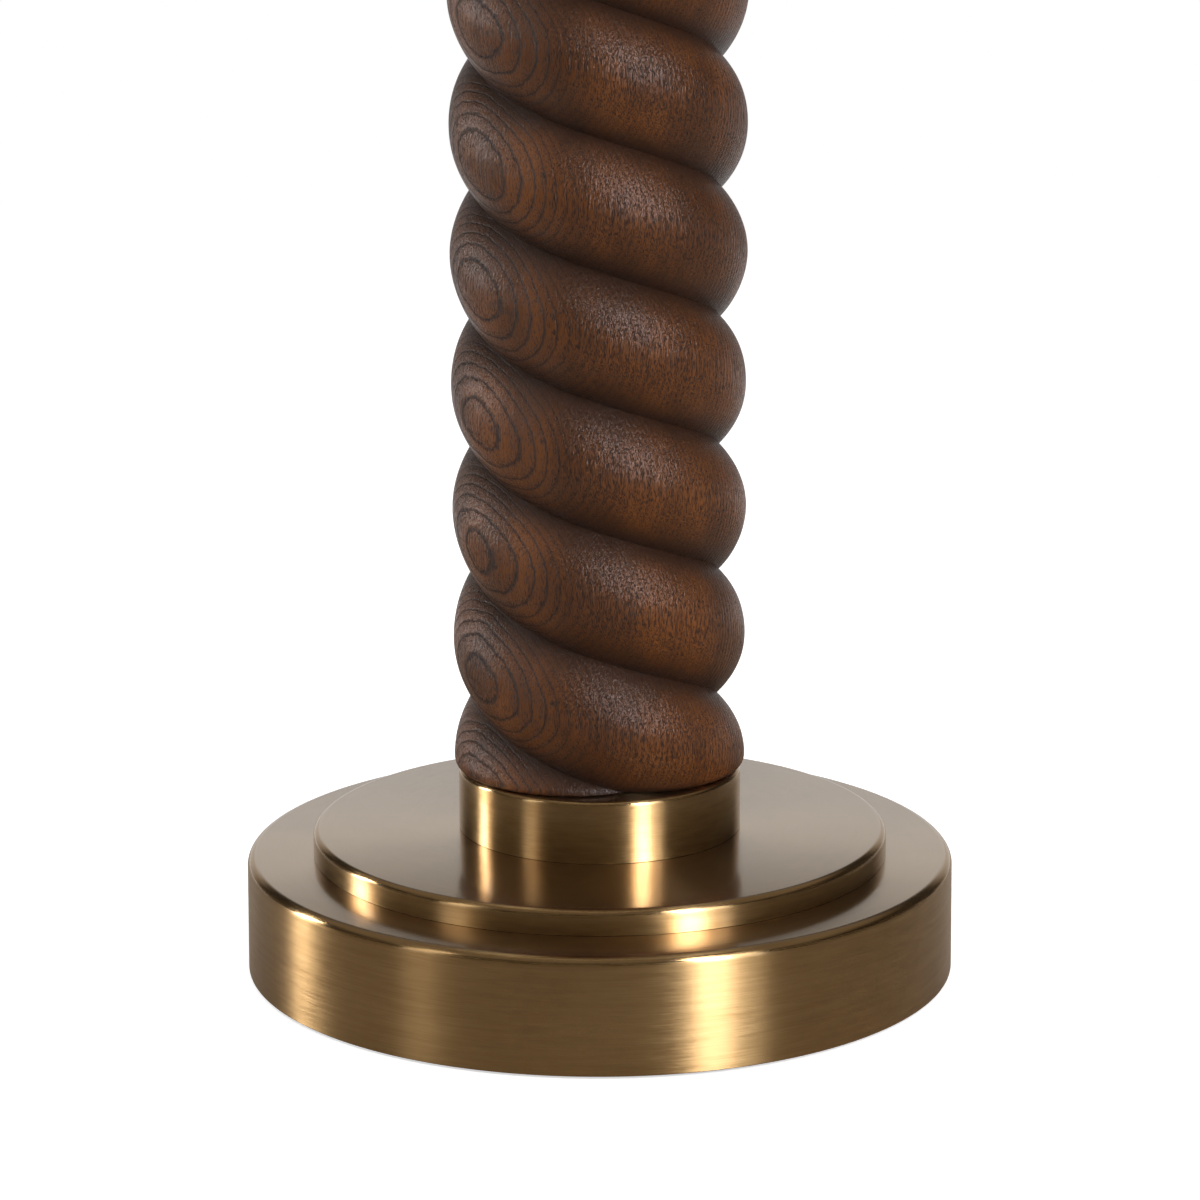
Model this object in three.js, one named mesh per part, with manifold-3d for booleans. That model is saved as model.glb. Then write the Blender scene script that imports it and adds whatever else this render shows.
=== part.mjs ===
// Table lamp: a rope-twist timber column on a two-tier antique brass base, with a turn-knob
// lamp holder, a harp, a drum shade, a finial and a bulb.
// Millimetres, +Z up. The origin is the centre of the foot, on the table; the front faces -Y.
import * as THREE from "three";
import { mergeVertices } from "three/addons/utils/BufferGeometryUtils.js";
import Module from "manifold-3d";

const wasm = await Module();
wasm.setup();

// Clearances
const seatGap = 0.3; // between a piece and what it rests on
const boreGap = 0.35; // radial, between a rod or stem and the hole that it passes through
const threadGap = 0.5; // radial, between the bulb's barrel and the screw shell

// Facets round a full turn
const largeFacets = 44;
const mediumFacets = 28;
const smallFacets = 16;
const fineFacets = 12;
const edgeSteps = 3; // across a rounded edge

// Foot
const padThickness = 2.5;
const padProud = 0.8; // how far the pad stands below the pan's rim
const padInset = 0.6; // between the pad's edge and the pan's wall
const panFootRadius = 89;
const panDraft = 0.25; // the pan's wall leans in by this much from rim to shoulder
const panTopHeight = 29.2; // above the table
const panWall = 1.3;
const panEdge = 2.4;
const stepRadius = 72.2;
const stepHeight = 6;
const stepWall = 1.3;
const stepEdge = 1.9;
const collarRadius = 35.4;
const collarHeight = 15.4;
const collarWall = 1.5;
const collarEdge = 1.3;
const weightRadius = 76;
const weightPocketRadius = 19;
const weightPocketDepth = 16;
const cordChannelWidth = 9;
const cordChannelHeight = 11;

// Cord inlet in the back of the pan
const inletHeight = 10; // centre above the table
const inletHoleRadius = 5.4;
const grommetBore = 3.6;
const grommetFlange = 7.4;
const grommetFlangeThickness = 1.6;

// Hollow threaded rod and what clamps it
const rodRadius = 4.85;
const rodBore = 3.5;
const rodBelowNut = 0.8;
const nutAcrossFlats = 14;
const footNutHeight = 6;
const lockWasherRadius = 8.5;
const lockWasherThickness = 1.6;
const clampWasherRadius = 16;
const clampWasherThickness = 2;

// Twisted column
const columnRadius = 36.5;
const grooveDepth = 6.85;
const lobePitch = 31.75; // height from one groove to the next
const lobeCount = 11;
const crestTurn = -166.5; // degrees round +Z of one crest at the column's foot
const columnRound = 1.3; // how far the end edges draw in
const columnRoundHeight = 2;
const lobeSides = 12; // facets across one lobe
const turnStep = 22.5; // degrees of twist between two levels
const columnBore = 6.5;
const bushRadius = 12.5;
const bushHeight = 5.5;

// Head of the column
const capRadius = 35.4;
const capHeight = 11;
const capWall = 1.5;
const capEdge = 1.3;
const topStepRadius = 23;
const topStepHeight = 5;
const topStepWall = 1.3;
const topStepEdge = 1.3;
const neckHeight = 22;
const neckWaistRadius = 7.4;
const neckFlangeRadius = 12.5;
const neckFlangeHeight = 2.2;
const neckCove = 3.6; // radius of the hollow above the flange
const neckRimHeight = 2.2;
const neckFlare = 2; // how far the rim stands out from the waist

// Saddle that carries the harp
const saddleThickness = 1.6;
const saddleHalfWidth = 27;
const saddleRise = 24;
const saddleArmWidth = 5;
const saddleDiscRadius = 9.5;
const saddleBend = 3;
const saddleNutHeight = 4;

// Lamp holder
const holderBossRadius = 8;
const holderBossHeight = 6;
const holderBossCove = 1.9;
const holderRadius = 17;
const holderCapHeight = 22;
const holderConeTop = 13.5;
const holderWall = 0.8;
const rodIntoHolder = 5.5;
const setScrewRadius = 1.5;
const setScrewLength = 4.5;
const setScrewHeight = 2.1; // above the boss's foot
const shellWall = 0.6;
const shellHeight = 45;
const shellOverlap = 5.5; // how far the shell reaches down into the cap
const shellBead = 1.1;
const shellBeadHeight = 28;
const linerWall = 0.4;
const holderBodyHeight = 22;
const screwShellWall = 0.5;
const screwShellHeight = 21;
const contactRadius = 3.6;
const contactHeight = 1.4;
const terminalRadius = 2.1;
const terminalLength = 5;

// Turn knob
const stemRadius = 2;
const stemLength = 24;
const stemDepth = 7; // into the holder's body
const knobRadius = 5.6;
const knobLength = 12;
const knobChamfer = 1.6;
const knobAboveShellFoot = 9;

// Bulb
const bulbBarrelRadius = 12.9;
const bulbBarrelHeight = 21;
const bulbBarrelTaper = 1.8;
const bulbInsulatorHeight = 3.4;
const bulbInsulatorFoot = 5.5;
const bulbTipRadius = 4.2;
const bulbTipHeight = 1.2;
const bulbNeckRadius = 12.4;
const bulbRadius = 30;
const bulbShoulder = 50; // from the barrel's lip up to the widest line
const bulbWall = 0.8;

// Harp
const wireRadius = 1.9;
const harpHeight = 196; // foot to the middle of the wire at the apex
const harpHalfWidth = 56;
const harpLegLength = 30;
const harpBelly = 108; // foot to the widest line
const harpFlat = 11; // half the length of the straight stretch at the apex
const harpBends = { leg: 0.45, belly: 0.55, rise: 0.62, apex: 0.6 }; // handles, as shares of the rise or run
const harpSides = 8;
const harpSteps = 52;
const sleeveRadius = 4.3;
const sleeveWall = 1.2;
const sleeveHeight = 16;
const bossRadius = 7;
const bossHeight = 3;
const swivelPinRadius = 1.9;
const swivelShoulderRadius = 6.5;
const swivelShoulderHeight = 2;
const studRadius = 3.1;
const studLength = 15;

// Shade
const shadeFootRadius = 190;
const shadeTopRadius = 165;
const shadeHeight = 245;
const shadeDrop = 12; // from the shade's top down to the hub
const coverThickness = 0.9;
const linerThickness = 0.5;
const trimThickness = 0.5;
const trimHeight = 9;
const frameWireRadius = 1.6;
const armWireRadius = 1.45;
const hubRadius = 11;
const hubThickness = 2;
const armCount = 3;
const armTurn = 90; // degrees round +Z of the first arm
const frameSides = 6;

// Finial
const finialFlangeRadius = 7;
const finialFlangeHeight = 1.6;
const finialNeckRadius = 5;
const finialBallRadius = 9;
const finialTipRadius = 2.6;
const finialTipHeight = 3.5;

const finish = (color, roughness, metalness) =>
  new THREE.MeshStandardMaterial({ color, roughness, metalness });
const antiqueBrass = finish("#8c6d3a", 0.32, 1);
const stainedTimber = finish("#5a3322", 0.55, 0);
const greyFelt = finish("#2e2c2a", 0.95, 0);
const castIron = finish("#3c3c3e", 0.7, 0.8);
const zincSteel = finish("#a9abae", 0.4, 1);
const darkRubber = finish("#3a2a1c", 0.6, 0);
const phenolic = finish("#1f1c1a", 0.4, 0);
const fibrePaper = finish("#b9a88a", 0.9, 0);
const aluminium = finish("#c2c4c6", 0.35, 1);
const linen = finish("#e9e2d3", 0.9, 0);
const whiteSheet = finish("#f4f2ec", 0.6, 0);
const whiteFrame = finish("#e4e2dc", 0.5, 0.2);
const frostedGlass = finish("#f2f0ea", 0.3, 0);
const beech = finish("#b98c5a", 0.7, 0);

const degrees = Math.PI / 180;

/** Points of an arc in a turned profile, from one angle to another, in degrees. */
function arc(centreRadius, centreHeight, radius, from, to, steps = edgeSteps) {
  return Array.from({ length: steps + 1 }, (_, i) => {
    const angle = (from + ((to - from) * i) / steps) * degrees;
    return [centreRadius + radius * Math.cos(angle), centreHeight + radius * Math.sin(angle)];
  });
}

/** A solid turned round +Z from [radius, height] points that run anticlockwise. */
function turned(profile, facets) {
  const onAxis = profile[0][0] === 0 && profile.at(-1)[0] === 0;
  const points = (onAxis ? profile : [...profile, profile[0]]).map(([r, h]) => new THREE.Vector2(r, h));
  return new THREE.LatheGeometry(points, facets).rotateX(Math.PI / 2);
}

/** A plain washer or tube from height 0 up. */
function ring(outer, inner, height, facets) {
  return turned([[inner, 0], [outer, 0], [outer, height], [inner, height]], facets);
}

/** A plain round bar on the axis, from height 0 up. */
function bar(radius, height, facets) {
  return turned([[0, 0], [radius, 0], [radius, height], [0, height]], facets);
}

/** A pressed cup with its mouth down, a rounded shoulder and a hole for the rod. */
function cup({ footRadius, topRadius = footRadius, height, wall, edge, hole, facets }) {
  const innerEdge = Math.max(edge - wall, wall / 4);
  return turned(
    [
      [footRadius, 0],
      ...arc(topRadius - edge, height - edge, edge, 0, 90),
      [hole, height],
      [hole, height - wall],
      ...arc(topRadius - wall - innerEdge, height - wall - innerEdge, innerEdge, 90, 0, 1),
      [footRadius - wall, 0],
    ],
    facets,
  );
}

/** A geometry as a solid that can be cut and joined. */
function toSolid(geometry) {
  const bare = geometry.index ? geometry.toNonIndexed() : geometry.clone();
  for (const name of Object.keys(bare.attributes)) if (name !== "position") bare.deleteAttribute(name);
  const merged = mergeVertices(bare, 1e-4);
  return new wasm.Manifold(
    new wasm.Mesh({
      numProp: 3,
      vertProperties: merged.attributes.position.array,
      triVerts: new Uint32Array(merged.index.array),
    }),
  );
}

/** A solid back as a geometry. */
function toGeometry(solid) {
  const { vertProperties, triVerts, numProp } = solid.getMesh();
  const geometry = new THREE.BufferGeometry();
  const interleaved = new THREE.InterleavedBuffer(vertProperties, numProp);
  geometry.setAttribute("position", new THREE.InterleavedBufferAttribute(interleaved, 3, 0));
  geometry.setIndex(new THREE.BufferAttribute(triVerts, 1));
  return geometry.toNonIndexed();
}

const cut = (body, ...tools) =>
  toGeometry(tools.reduce((left, tool) => left.subtract(toSolid(tool)), toSolid(body)));
const join = (...bodies) =>
  toGeometry(bodies.map(toSolid).reduce((left, right) => left.add(right)));

/** A flat outline of [x, y] points, with an optional round hole, raised from height 0. */
function plate(outline, height, holeRadius = 0) {
  const shape = new THREE.Shape(outline.map(([x, y]) => new THREE.Vector2(x, y)));
  if (holeRadius) shape.holes.push(new THREE.Path().absarc(0, 0, holeRadius, 0, 2 * Math.PI, true));
  return new THREE.ExtrudeGeometry(shape, {
    depth: height,
    bevelEnabled: false,
    curveSegments: smallFacets / 2,
  });
}

/** A hexagon nut with a clear bore. */
function hexNut(acrossFlats, height, bore) {
  const corner = acrossFlats / 2 / Math.cos(Math.PI / 6);
  const outline = Array.from({ length: 6 }, (_, i) => [
    corner * Math.cos((i * Math.PI) / 3),
    corner * Math.sin((i * Math.PI) / 3),
  ]);
  return plate(outline, height, bore);
}

/** A round wire along a path. */
function wire(path, radius, sides, steps) {
  const section = new THREE.Shape(
    Array.from({ length: sides }, (_, i) => {
      const angle = (2 * Math.PI * (i + 0.5)) / sides;
      return new THREE.Vector2(radius * Math.cos(angle), radius * Math.sin(angle));
    }),
  );
  return new THREE.ExtrudeGeometry(section, { extrudePath: path, steps, bevelEnabled: false });
}

/** A ring of round wire about +Z, with its middle at height 0. */
function hoop(radius, wireSize, facets) {
  return turned(
    Array.from({ length: frameSides }, (_, i) => {
      const angle = (2 * Math.PI * (i + 0.5)) / frameSides;
      return [radius + wireSize * Math.cos(angle), wireSize * Math.sin(angle)];
    }),
    facets,
  );
}

/** Puts a named piece into a group at a height. */
function addPiece(group, name, geometry, material, height = 0) {
  const mesh = new THREE.Mesh(geometry, material);
  mesh.name = name;
  mesh.position.z = height;
  group.add(mesh);
  return mesh;
}

const rodHole = rodRadius + boreGap;

// Heights above the table, from the foot up
const weightFoot = padThickness + seatGap;
const weightTop = panTopHeight - panWall - seatGap;
const stepFoot = panTopHeight + seatGap;
const stepTop = stepFoot + stepHeight;
const collarFoot = stepTop + seatGap;
const collarTop = collarFoot + collarHeight;
const columnFoot = collarTop + seatGap;
const columnTop = columnFoot + lobePitch * lobeCount;
const capFoot = columnTop + seatGap;
const topStepFoot = capFoot + capHeight + seatGap;
const neckFoot = topStepFoot + topStepHeight + seatGap;
const saddleFoot = neckFoot + neckHeight + seatGap;
const saddleNutFoot = saddleFoot + saddleThickness + seatGap;
const holderFoot = saddleNutFoot + saddleNutHeight + seatGap;
const saddleArmTop = saddleFoot + saddleRise;

// Levels inside the weight's pocket, from its roof down
const pocketRoof = weightFoot + weightPocketDepth;
const clampWasherFoot = pocketRoof - seatGap - clampWasherThickness;
const lockWasherFoot = clampWasherFoot - seatGap - lockWasherThickness;
const footNutFoot = lockWasherFoot - seatGap - footNutHeight;
const rodFoot = footNutFoot - rodBelowNut;

/** Foot: pad, weight, pan with its cord inlet, step, collar, and the nut that draws them together. */
function foot() {
  const group = new THREE.Group();
  const panInside = panFootRadius - panWall;
  addPiece(group, "felt_pad", bar(panInside - padInset, padThickness, largeFacets), greyFelt);

  const weight = turned(
    [
      [rodHole, weightPocketDepth],
      [weightPocketRadius, weightPocketDepth],
      [weightPocketRadius, 0],
      [weightRadius, 0],
      [weightRadius, weightTop - weightFoot],
      [rodHole, weightTop - weightFoot],
    ],
    mediumFacets,
  );
  const channelRun = weightRadius + seatGap;
  const channel = new THREE.BoxGeometry(cordChannelWidth, channelRun, 2 * cordChannelHeight);
  channel.translate(0, channelRun / 2, 0);
  addPiece(group, "base_weight", cut(weight, channel), castIron, weightFoot);

  const pan = cup({
    footRadius: panFootRadius,
    topRadius: panFootRadius - panDraft,
    height: panTopHeight - padProud,
    wall: panWall,
    edge: panEdge,
    hole: rodHole,
    facets: largeFacets,
  });
  const inletTool = bar(inletHoleRadius, 4 * panWall, smallFacets);
  inletTool.rotateX(-Math.PI / 2).translate(0, panFootRadius - 2 * panWall, inletHeight - padProud);
  addPiece(group, "base_pan", cut(pan, inletTool), antiqueBrass, padProud);

  const wallSag = panFootRadius - Math.sqrt(panFootRadius ** 2 - grommetFlange ** 2);
  const neckRun = panWall + panDraft + wallSag + 2 * seatGap;
  const neckRadius = inletHoleRadius - boreGap;
  const grommet = turned(
    [
      [grommetBore, 0],
      [grommetFlange, 0],
      [grommetFlange, grommetFlangeThickness],
      [neckRadius, grommetFlangeThickness],
      [neckRadius, grommetFlangeThickness + neckRun],
      [grommetFlange, grommetFlangeThickness + neckRun],
      [grommetFlange, 2 * grommetFlangeThickness + neckRun],
      [grommetBore, 2 * grommetFlangeThickness + neckRun],
    ],
    smallFacets,
  );
  grommet.rotateX(-Math.PI / 2);
  const grommetInnerFace = panFootRadius - neckRun + seatGap - grommetFlangeThickness;
  addPiece(group, "cord_grommet", grommet, darkRubber, inletHeight).position.y = grommetInnerFace;

  const step = cup({
    footRadius: stepRadius,
    height: stepHeight,
    wall: stepWall,
    edge: stepEdge,
    hole: rodHole,
    facets: largeFacets,
  });
  addPiece(group, "base_step", step, antiqueBrass, stepFoot);
  const collar = cup({
    footRadius: collarRadius,
    height: collarHeight,
    wall: collarWall,
    edge: collarEdge,
    hole: rodHole,
    facets: mediumFacets,
  });
  addPiece(group, "base_collar", collar, antiqueBrass, collarFoot);

  const clampWasher = ring(clampWasherRadius, rodHole, clampWasherThickness, smallFacets);
  addPiece(group, "clamp_washer", clampWasher, zincSteel, clampWasherFoot);
  const lockWasher = ring(lockWasherRadius, rodHole, lockWasherThickness, smallFacets);
  addPiece(group, "lock_washer", lockWasher, zincSteel, lockWasherFoot);
  addPiece(group, "foot_nut", hexNut(nutAcrossFlats, footNutHeight, rodHole), zincSteel, footNutFoot);
  const rodLength = holderFoot + rodIntoHolder - rodFoot;
  addPiece(group, "threaded_rod", ring(rodRadius, rodBore, rodLength, fineFacets), zincSteel, rodFoot);
  return group;
}

/** Radius of the column's section at an angle from a crest: two lobes, each an arc along the height. */
function lobeRadius(angle) {
  const halfPitch = lobePitch / 2;
  const lobe = angle / Math.PI;
  const offset = (lobe - Math.round(lobe)) * lobePitch;
  const arcRadius = (halfPitch ** 2 + grooveDepth ** 2) / (2 * grooveDepth);
  return columnRadius - (arcRadius - Math.sqrt(arcRadius ** 2 - offset ** 2));
}

/** The column's outside: one section turned left-handed as it rises, drawn in at both ends. */
function twistedBlank() {
  const height = lobePitch * lobeCount;
  const sides = 2 * lobeSides;
  const levels = [0, columnRoundHeight / 3, columnRoundHeight];
  const stepCount = Math.ceil((lobeCount * 180) / turnStep);
  for (let i = 1; i < stepCount; i++) {
    const level = (height * i) / stepCount;
    if (level > 1.5 * columnRoundHeight && level < height - 1.5 * columnRoundHeight) levels.push(level);
  }
  levels.push(height - columnRoundHeight, height - columnRoundHeight / 3, height);
  const positions = [];
  for (const level of levels) {
    const fromEnd = Math.min(level, height - level) / columnRoundHeight;
    const drawIn = columnRound * Math.max(1 - fromEnd, 0) ** 2;
    const turn = crestTurn * degrees - (Math.PI * level) / lobePitch;
    for (let side = 0; side < sides; side++) {
      const angle = (side * 2 * Math.PI) / sides;
      const radius = lobeRadius(angle) - drawIn;
      positions.push(radius * Math.cos(angle + turn), radius * Math.sin(angle + turn), level);
    }
  }
  positions.push(0, 0, 0, 0, 0, height);
  const footCentre = levels.length * sides;
  const topRing = (levels.length - 1) * sides;
  const index = [];
  for (let side = 0; side < sides; side++) {
    const next = (side + 1) % sides;
    for (let level = 0; level < levels.length - 1; level++) {
      const low = level * sides;
      const high = low + sides;
      index.push(low + side, low + next, high + next, low + side, high + next, high + side);
    }
    index.push(footCentre, next, side, footCentre + 1, topRing + side, topRing + next);
  }
  const geometry = new THREE.BufferGeometry();
  geometry.setAttribute("position", new THREE.Float32BufferAttribute(positions, 3));
  geometry.setIndex(index);
  return geometry;
}

/** Column: the twisted timber with its bore, and a bush in each end that centres it on the rod. */
function column() {
  const group = new THREE.Group();
  const height = lobePitch * lobeCount;
  const counterboreRadius = bushRadius + seatGap;
  const counterboreDepth = bushHeight + seatGap;
  const boreTool = turned(
    [
      [0, -counterboreDepth],
      [counterboreRadius, -counterboreDepth],
      [counterboreRadius, counterboreDepth],
      [columnBore, counterboreDepth],
      [columnBore, height - counterboreDepth],
      [counterboreRadius, height - counterboreDepth],
      [counterboreRadius, height + counterboreDepth],
      [0, height + counterboreDepth],
    ],
    smallFacets,
  );
  addPiece(group, "wood_column", cut(twistedBlank(), boreTool), stainedTimber, columnFoot);
  const bush = ring(bushRadius, rodHole, bushHeight, smallFacets);
  addPiece(group, "lower_bush", bush, beech, columnFoot);
  addPiece(group, "upper_bush", bush.clone(), beech, columnTop - bushHeight);
  return group;
}

/** Head of the column: cap, step, neck, saddle and the nut on it. */
function head() {
  const group = new THREE.Group();
  const cap = cup({
    footRadius: capRadius,
    height: capHeight,
    wall: capWall,
    edge: capEdge,
    hole: rodHole,
    facets: mediumFacets,
  });
  addPiece(group, "column_cap", cap, antiqueBrass, capFoot);
  const step = cup({
    footRadius: topStepRadius,
    height: topStepHeight,
    wall: topStepWall,
    edge: topStepEdge,
    hole: rodHole,
    facets: mediumFacets,
  });
  addPiece(group, "cap_step", step, antiqueBrass, topStepFoot);
  const neck = turned(
    [
      [rodHole, 0],
      [neckFlangeRadius, 0],
      [neckFlangeRadius, neckFlangeHeight],
      ...arc(neckWaistRadius + neckCove, neckFlangeHeight + neckCove, neckCove, 270, 180),
      [neckWaistRadius, neckHeight - neckRimHeight - neckFlare],
      [neckWaistRadius + neckFlare, neckHeight - neckRimHeight],
      [neckWaistRadius + neckFlare, neckHeight],
      [rodHole, neckHeight],
    ],
    smallFacets,
  );
  addPiece(group, "neck", neck, antiqueBrass, neckFoot);
  addPiece(group, "harp_saddle", saddle(), antiqueBrass, saddleFoot);
  const nut = hexNut(nutAcrossFlats, saddleNutHeight, rodHole);
  addPiece(group, "saddle_nut", nut, antiqueBrass, saddleNutFoot);
  return group;
}

/** A strip bent up at both ends, with a disc round its hole. */
function saddle() {
  const outside = saddleHalfWidth + saddleThickness / 2;
  const inside = outside - saddleThickness;
  const outerBend = saddleBend + saddleThickness;
  const right = [
    ...arc(outside - outerBend, outerBend, outerBend, -90, 0),
    [outside, saddleRise],
    [inside, saddleRise],
    ...arc(inside - saddleBend, outerBend, saddleBend, 0, -90),
  ];
  const left = right.map(([x, z]) => [-x, z]).reverse();
  const strip = plate([...right, ...left], saddleArmWidth);
  strip.rotateX(Math.PI / 2).translate(0, saddleArmWidth / 2, 0);
  const disc = bar(saddleDiscRadius, saddleThickness, smallFacets);
  const hole = bar(rodHole, 3 * saddleThickness, smallFacets).translate(0, 0, -saddleThickness);
  return cut(join(strip, disc), hole);
}

// Levels and radii inside the lamp holder
const shellRadius = holderRadius - holderWall - seatGap;
const shellInside = shellRadius - shellWall;
const linerRadius = shellInside - seatGap;
const bodyRadius = linerRadius - linerWall - seatGap;
const shellFoot = holderFoot + holderCapHeight - shellOverlap;
const bodyFoot = holderFoot + holderConeTop + holderWall + seatGap;
const bodyTop = bodyFoot + holderBodyHeight;
const screwShellFoot = bodyTop + seatGap;
const screwShellInside = bulbBarrelRadius + threadGap;
const knobHeight = shellFoot + knobAboveShellFoot;
const bulbFoot = bodyTop + seatGap + contactHeight + seatGap;

/** Lamp holder: cap, shell with its paper liner, moulded body, screw shell, contact and terminals. */
function holder() {
  const group = new THREE.Group();
  const capInside = holderRadius - holderWall;
  const coneFoot = holderBossHeight + holderWall;
  const capShape = turned(
    [
      [rodHole, 0],
      [holderBossRadius, 0],
      [holderBossRadius, holderBossHeight - holderBossCove],
      [holderBossRadius + holderBossCove, holderBossHeight],
      [holderRadius, holderConeTop],
      [holderRadius, holderCapHeight],
      [capInside, holderCapHeight],
      [capInside, holderConeTop + holderWall / 2],
      [holderBossRadius + holderBossCove / 2, coneFoot],
      [rodHole, coneFoot],
    ],
    mediumFacets,
  );
  const screwTool = bar(setScrewRadius + seatGap, 2 * setScrewLength, fineFacets);
  screwTool.rotateX(-Math.PI / 2).translate(0, rodRadius, setScrewHeight);
  addPiece(group, "holder_cap", cut(capShape, screwTool), antiqueBrass, holderFoot);
  const screw = bar(setScrewRadius, setScrewLength, fineFacets).rotateX(-Math.PI / 2);
  addPiece(group, "set_screw", screw, zincSteel, holderFoot + setScrewHeight).position.y = rodHole;

  const stemWay = bar(stemRadius + 2 * boreGap, 2 * holderRadius, fineFacets).rotateX(Math.PI / 2);
  const stemWayAt = (footHeight) => stemWay.clone().translate(0, 0, knobHeight - footHeight);
  const shell = turned(
    [
      [shellInside, 0],
      [shellRadius, 0],
      [shellRadius, shellBeadHeight - shellBead],
      [shellRadius + shellBead, shellBeadHeight],
      [shellRadius, shellBeadHeight + shellBead],
      [shellRadius, shellHeight - 2 * shellBead],
      [shellRadius + shellBead, shellHeight - shellBead],
      [shellRadius + shellBead, shellHeight],
      [shellInside, shellHeight],
    ],
    mediumFacets,
  );
  addPiece(group, "holder_shell", cut(shell, stemWayAt(shellFoot)), antiqueBrass, shellFoot);
  const linerFoot = shellFoot + seatGap;
  const liner = ring(linerRadius, linerRadius - linerWall, shellHeight - 2 * seatGap, smallFacets);
  addPiece(group, "holder_liner", cut(liner, stemWayAt(linerFoot)), fibrePaper, linerFoot);

  const stemPocket = bar(stemRadius + boreGap, 2 * bodyRadius, fineFacets);
  stemPocket.rotateX(Math.PI / 2).translate(0, stemDepth - bodyRadius, knobHeight - bodyFoot);
  const terminalWay = bar(terminalRadius + boreGap, 2 * bodyRadius, fineFacets);
  terminalWay.translate(0, 0, -bodyRadius).rotateY(Math.PI / 2).translate(0, 0, knobHeight - bodyFoot);
  const centre = bar(bodyRadius - terminalLength, 2 * holderBodyHeight, smallFacets);
  centre.translate(0, 0, -holderBodyHeight / 2);
  const pockets = toGeometry(toSolid(terminalWay).subtract(toSolid(centre)));
  const body = bar(bodyRadius, holderBodyHeight, smallFacets);
  addPiece(group, "holder_body", cut(body, stemPocket, pockets), phenolic, bodyFoot);
  for (const [name, side] of [["terminal_screw_left", -1], ["terminal_screw_right", 1]]) {
    const screwLength = terminalLength - boreGap - seatGap;
    const terminal = bar(terminalRadius, screwLength, fineFacets).rotateY((side * Math.PI) / 2);
    const mesh = addPiece(group, name, terminal, zincSteel, knobHeight);
    mesh.position.x = side * (bodyRadius - terminalLength + boreGap);
  }

  const screwShellOuter = screwShellInside + screwShellWall;
  const screwShell = ring(screwShellOuter, screwShellInside, screwShellHeight, smallFacets);
  addPiece(group, "screw_shell", screwShell, aluminium, screwShellFoot);
  const contact = bar(contactRadius, contactHeight, fineFacets);
  addPiece(group, "centre_contact", contact, antiqueBrass, screwShellFoot);
  return group;
}

/** Turn knob: a stem into the holder's body and a knob on its end. */
function turnKnob() {
  const group = new THREE.Group();
  const innerEnd = bodyRadius - stemDepth + boreGap;
  const stem = bar(stemRadius, stemLength, fineFacets).rotateX(Math.PI / 2);
  addPiece(group, "switch_stem", stem, antiqueBrass, knobHeight).position.y = -innerEnd;
  const knobStart = innerEnd + stemLength - knobLength / 2;
  const stemSeat = knobLength / 2 + seatGap;
  const knob = turned(
    [
      [0, stemSeat],
      [stemRadius + seatGap, stemSeat],
      [stemRadius + seatGap, 0],
      [knobRadius - knobChamfer, 0],
      [knobRadius, knobChamfer],
      [knobRadius, knobLength - knobChamfer],
      [knobRadius - knobChamfer, knobLength],
      [0, knobLength],
    ],
    smallFacets,
  ).rotateX(Math.PI / 2);
  addPiece(group, "switch_knob", knob, antiqueBrass, knobHeight).position.y = -knobStart;
  return group;
}

/** Bulb: contact tip, insulator, screw barrel and a thin glass envelope. */
function bulb() {
  const group = new THREE.Group();
  group.position.z = bulbFoot;
  addPiece(group, "bulb_tip", bar(bulbTipRadius, bulbTipHeight, fineFacets), zincSteel);
  const insulatorFoot = bulbTipHeight + seatGap;
  const insulator = turned(
    [
      [0, 0],
      [bulbInsulatorFoot, 0],
      [bulbBarrelRadius - bulbBarrelTaper, bulbInsulatorHeight],
      [0, bulbInsulatorHeight],
    ],
    smallFacets,
  );
  addPiece(group, "bulb_insulator", insulator, phenolic, insulatorFoot);
  const barrelFoot = insulatorFoot + bulbInsulatorHeight + seatGap;
  const barrel = turned(
    [
      [0, 0],
      [bulbBarrelRadius - bulbBarrelTaper, 0],
      [bulbBarrelRadius, bulbBarrelTaper],
      [bulbBarrelRadius, bulbBarrelHeight],
      [0, bulbBarrelHeight],
    ],
    smallFacets,
  );
  addPiece(group, "bulb_barrel", barrel, aluminium, barrelFoot);
  const glassFoot = barrelFoot + bulbBarrelHeight + seatGap;
  addPiece(group, "bulb_glass", glassEnvelope(), frostedGlass, glassFoot);
  return group;
}

/** A shell that swells from the neck in a half cosine and closes in a quarter circle. */
function glassEnvelope() {
  const swellSteps = 6;
  const domeSteps = 6;
  const side = (inset) => {
    const points = [];
    for (let i = 0; i < swellSteps; i++) {
      const share = i / swellSteps;
      const swell = (1 - Math.cos(Math.PI * share)) / 2;
      points.push([bulbNeckRadius + (bulbRadius - bulbNeckRadius) * swell - inset, bulbShoulder * share]);
    }
    const dome = arc(0, bulbShoulder, bulbRadius - inset, 0, 90, domeSteps);
    dome[domeSteps][0] = 0;
    return [...points, ...dome];
  };
  return turned([...side(bulbWall).reverse(), ...side(0)], smallFacets);
}

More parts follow.
